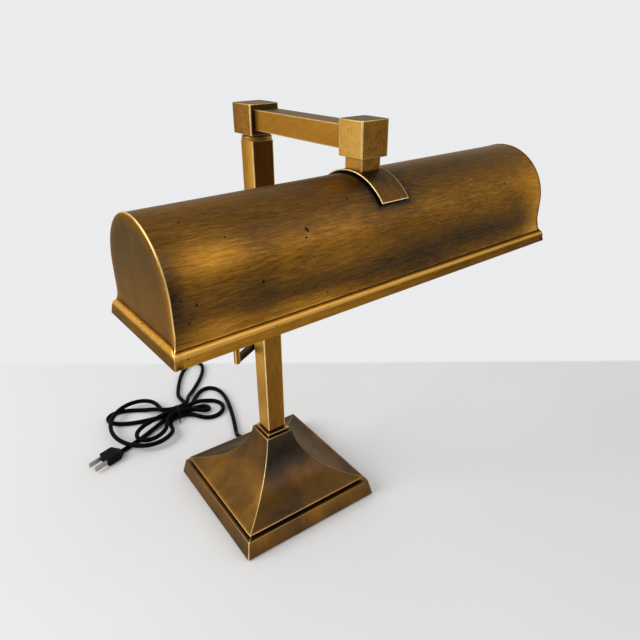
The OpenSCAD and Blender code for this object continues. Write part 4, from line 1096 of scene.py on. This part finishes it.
nodeFinishes = dict(
    greenFelt="base_felt", castIron="base_weight", darkMetal="switch_lever socket_cluster",
    steelGrey="base_plate plate_screws base_nut base_washer swivel_washer swivel_nut switch_spindle "
              "post_washer post_nut inner_saddle shade_nut",
    plainBrass="base_pipe column_head swivel_post switch_bush switch_nut shade_post",
    blackCord="lower_wire upper_wire arm_wire", socketBlack="switch_body socket_left socket_right",
    bulbMetal="bulb_cap_left bulb_cap_right", frostGlass="bulb_left bulb_right",
)
for finish, names in nodeFinishes.items():
    for nodeName in names.split():
        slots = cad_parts[nodeName].data.materials
        slots.clear()
        slots.append(finishes[finish])
print("solids dressed:", len(" ".join(nodeFinishes.values()).split()))

# floor, wall tone and light

stageSpec = dict(
    size=6.0, table=(0.80, 0.795, 0.79), speck=0.985,
    # the wall's tone, and how far from the camera it begins on the floor
    wall=(0.83, 0.835, 0.85), line=0.803, soft=(-0.002, 0.004),
    # the tone behind the camera, the turn from it to the wall's, and the plain light
    front=(0.39, 0.39, 0.39), turn=(-0.6, 0.5), fill=0.60,
)
lampSpecs = [
    dict(name="windowLight", place=(-1.5, 0.35, 1.15), aim=(0.0, -0.05, 0.2), size=1.1, power=20.0),
    dict(name="roomLight", place=(0.75, -1.4, 1.5), aim=(0.0, -0.1, 0.3), size=1.6, power=9.0),
]


def alongOf(tree, vector, way):
    return nodeOf(tree, "VectorMath", {0: vector, 1: way}, operation="DOT_PRODUCT").outputs["Value"]


def makeFloor(spec, ahead):
    # a level floor that takes the wall's tone past the line where the table ends
    half = spec["size"] / 2
    mesh = bpy.data.meshes.new("studio_floor")
    corners = [(-half, -half, 0), (half, -half, 0), (half, half, 0), (-half, half, 0)]
    mesh.from_pydata(corners, [], [(0, 1, 2, 3)])
    floor = bpy.data.objects.new("studio_floor", mesh)
    bpy.context.scene.collection.objects.link(floor)
    finish, tree, shader = newFinish("studioFloor")
    line = sum(p * mm * a for p, a in zip(cameraSpec["place"], ahead)) + spec["line"]
    where = nodeOf(tree, "TexCoord").outputs["Object"]
    past = rangeOf(tree, alongOf(tree, where, ahead), *(line + soft for soft in spec["soft"]))
    speck = rangeOf(tree, noiseOf(tree, where, 3.0, 2), 0.3, 0.7)
    tone = mixOf(tree, speck, spec["table"], tuple(v * spec["speck"] for v in spec["table"]))
    feed(tree, shader, {"Base Color": tone, "Roughness": 0.75, "Specular IOR Level": 0.2})
    wall = nodeOf(tree, "Emission", {"Color": (*spec["wall"], 1.0), "Strength": 1.0})
    both = nodeOf(tree, "MixShader", {0: past, 1: shader.outputs[0], 2: wall.outputs[0]})
    tree.links.new(both.outputs[0], tree.nodes["Material Output"].inputs["Surface"])
    mesh.materials.append(finish)


def makeWorld(spec, ahead):
    # plain light on dull faces; what is seen and mirrored turns from the front's tone to the wall's
    world = bpy.data.worlds.new("studioWorld")
    bpy.context.scene.world = world
    world.use_nodes = True
    tree = world.node_tree
    facing = alongOf(tree, nodeOf(tree, "TexCoord").outputs["Generated"], ahead)
    tone = mixOf(tree, rangeOf(tree, facing, *spec["turn"]), spec["front"], spec["wall"])
    seen = nodeOf(tree, "Background", {"Color": tone, "Strength": 1.0})
    light = nodeOf(tree, "Background", {"Color": (1.0, 1.0, 1.0, 1.0), "Strength": spec["fill"]})
    path = nodeOf(tree, "LightPath").outputs
    shown = mathOf(tree, "ADD", path["Is Camera Ray"], path["Is Glossy Ray"])
    shown = mathOf(tree, "ADD", shown, path["Is Transmission Ray"], clamp=True)
    both = nodeOf(tree, "MixShader", {0: shown, 1: light.outputs[0], 2: seen.outputs[0]})
    tree.links.new(both.outputs[0], tree.nodes["World Output"].inputs["Surface"])


def makeLamps(specs):
    for spec in specs:
        data = bpy.data.lights.new(spec["name"], "AREA")
        data.size, data.energy = spec["size"], spec["power"]
        ahead = unit(np.subtract(spec["aim"], spec["place"]))
        side = unit(np.cross(ahead, (0, 0, 1)))
        aimed(bpy.data.objects.new(spec["name"], data), side, np.cross(side, ahead), ahead, spec["place"])


yaw = math.radians(cameraSpec["yaw"])
levelAhead = (math.sin(yaw), math.cos(yaw), 0.0)
makeFloor(stageSpec, levelAhead)
makeWorld(stageSpec, levelAhead)
makeLamps(lampSpecs)
bpy.context.scene.view_settings.view_transform = "Standard"
print("stage and lamps set")

bpy.context.view_layer.update()
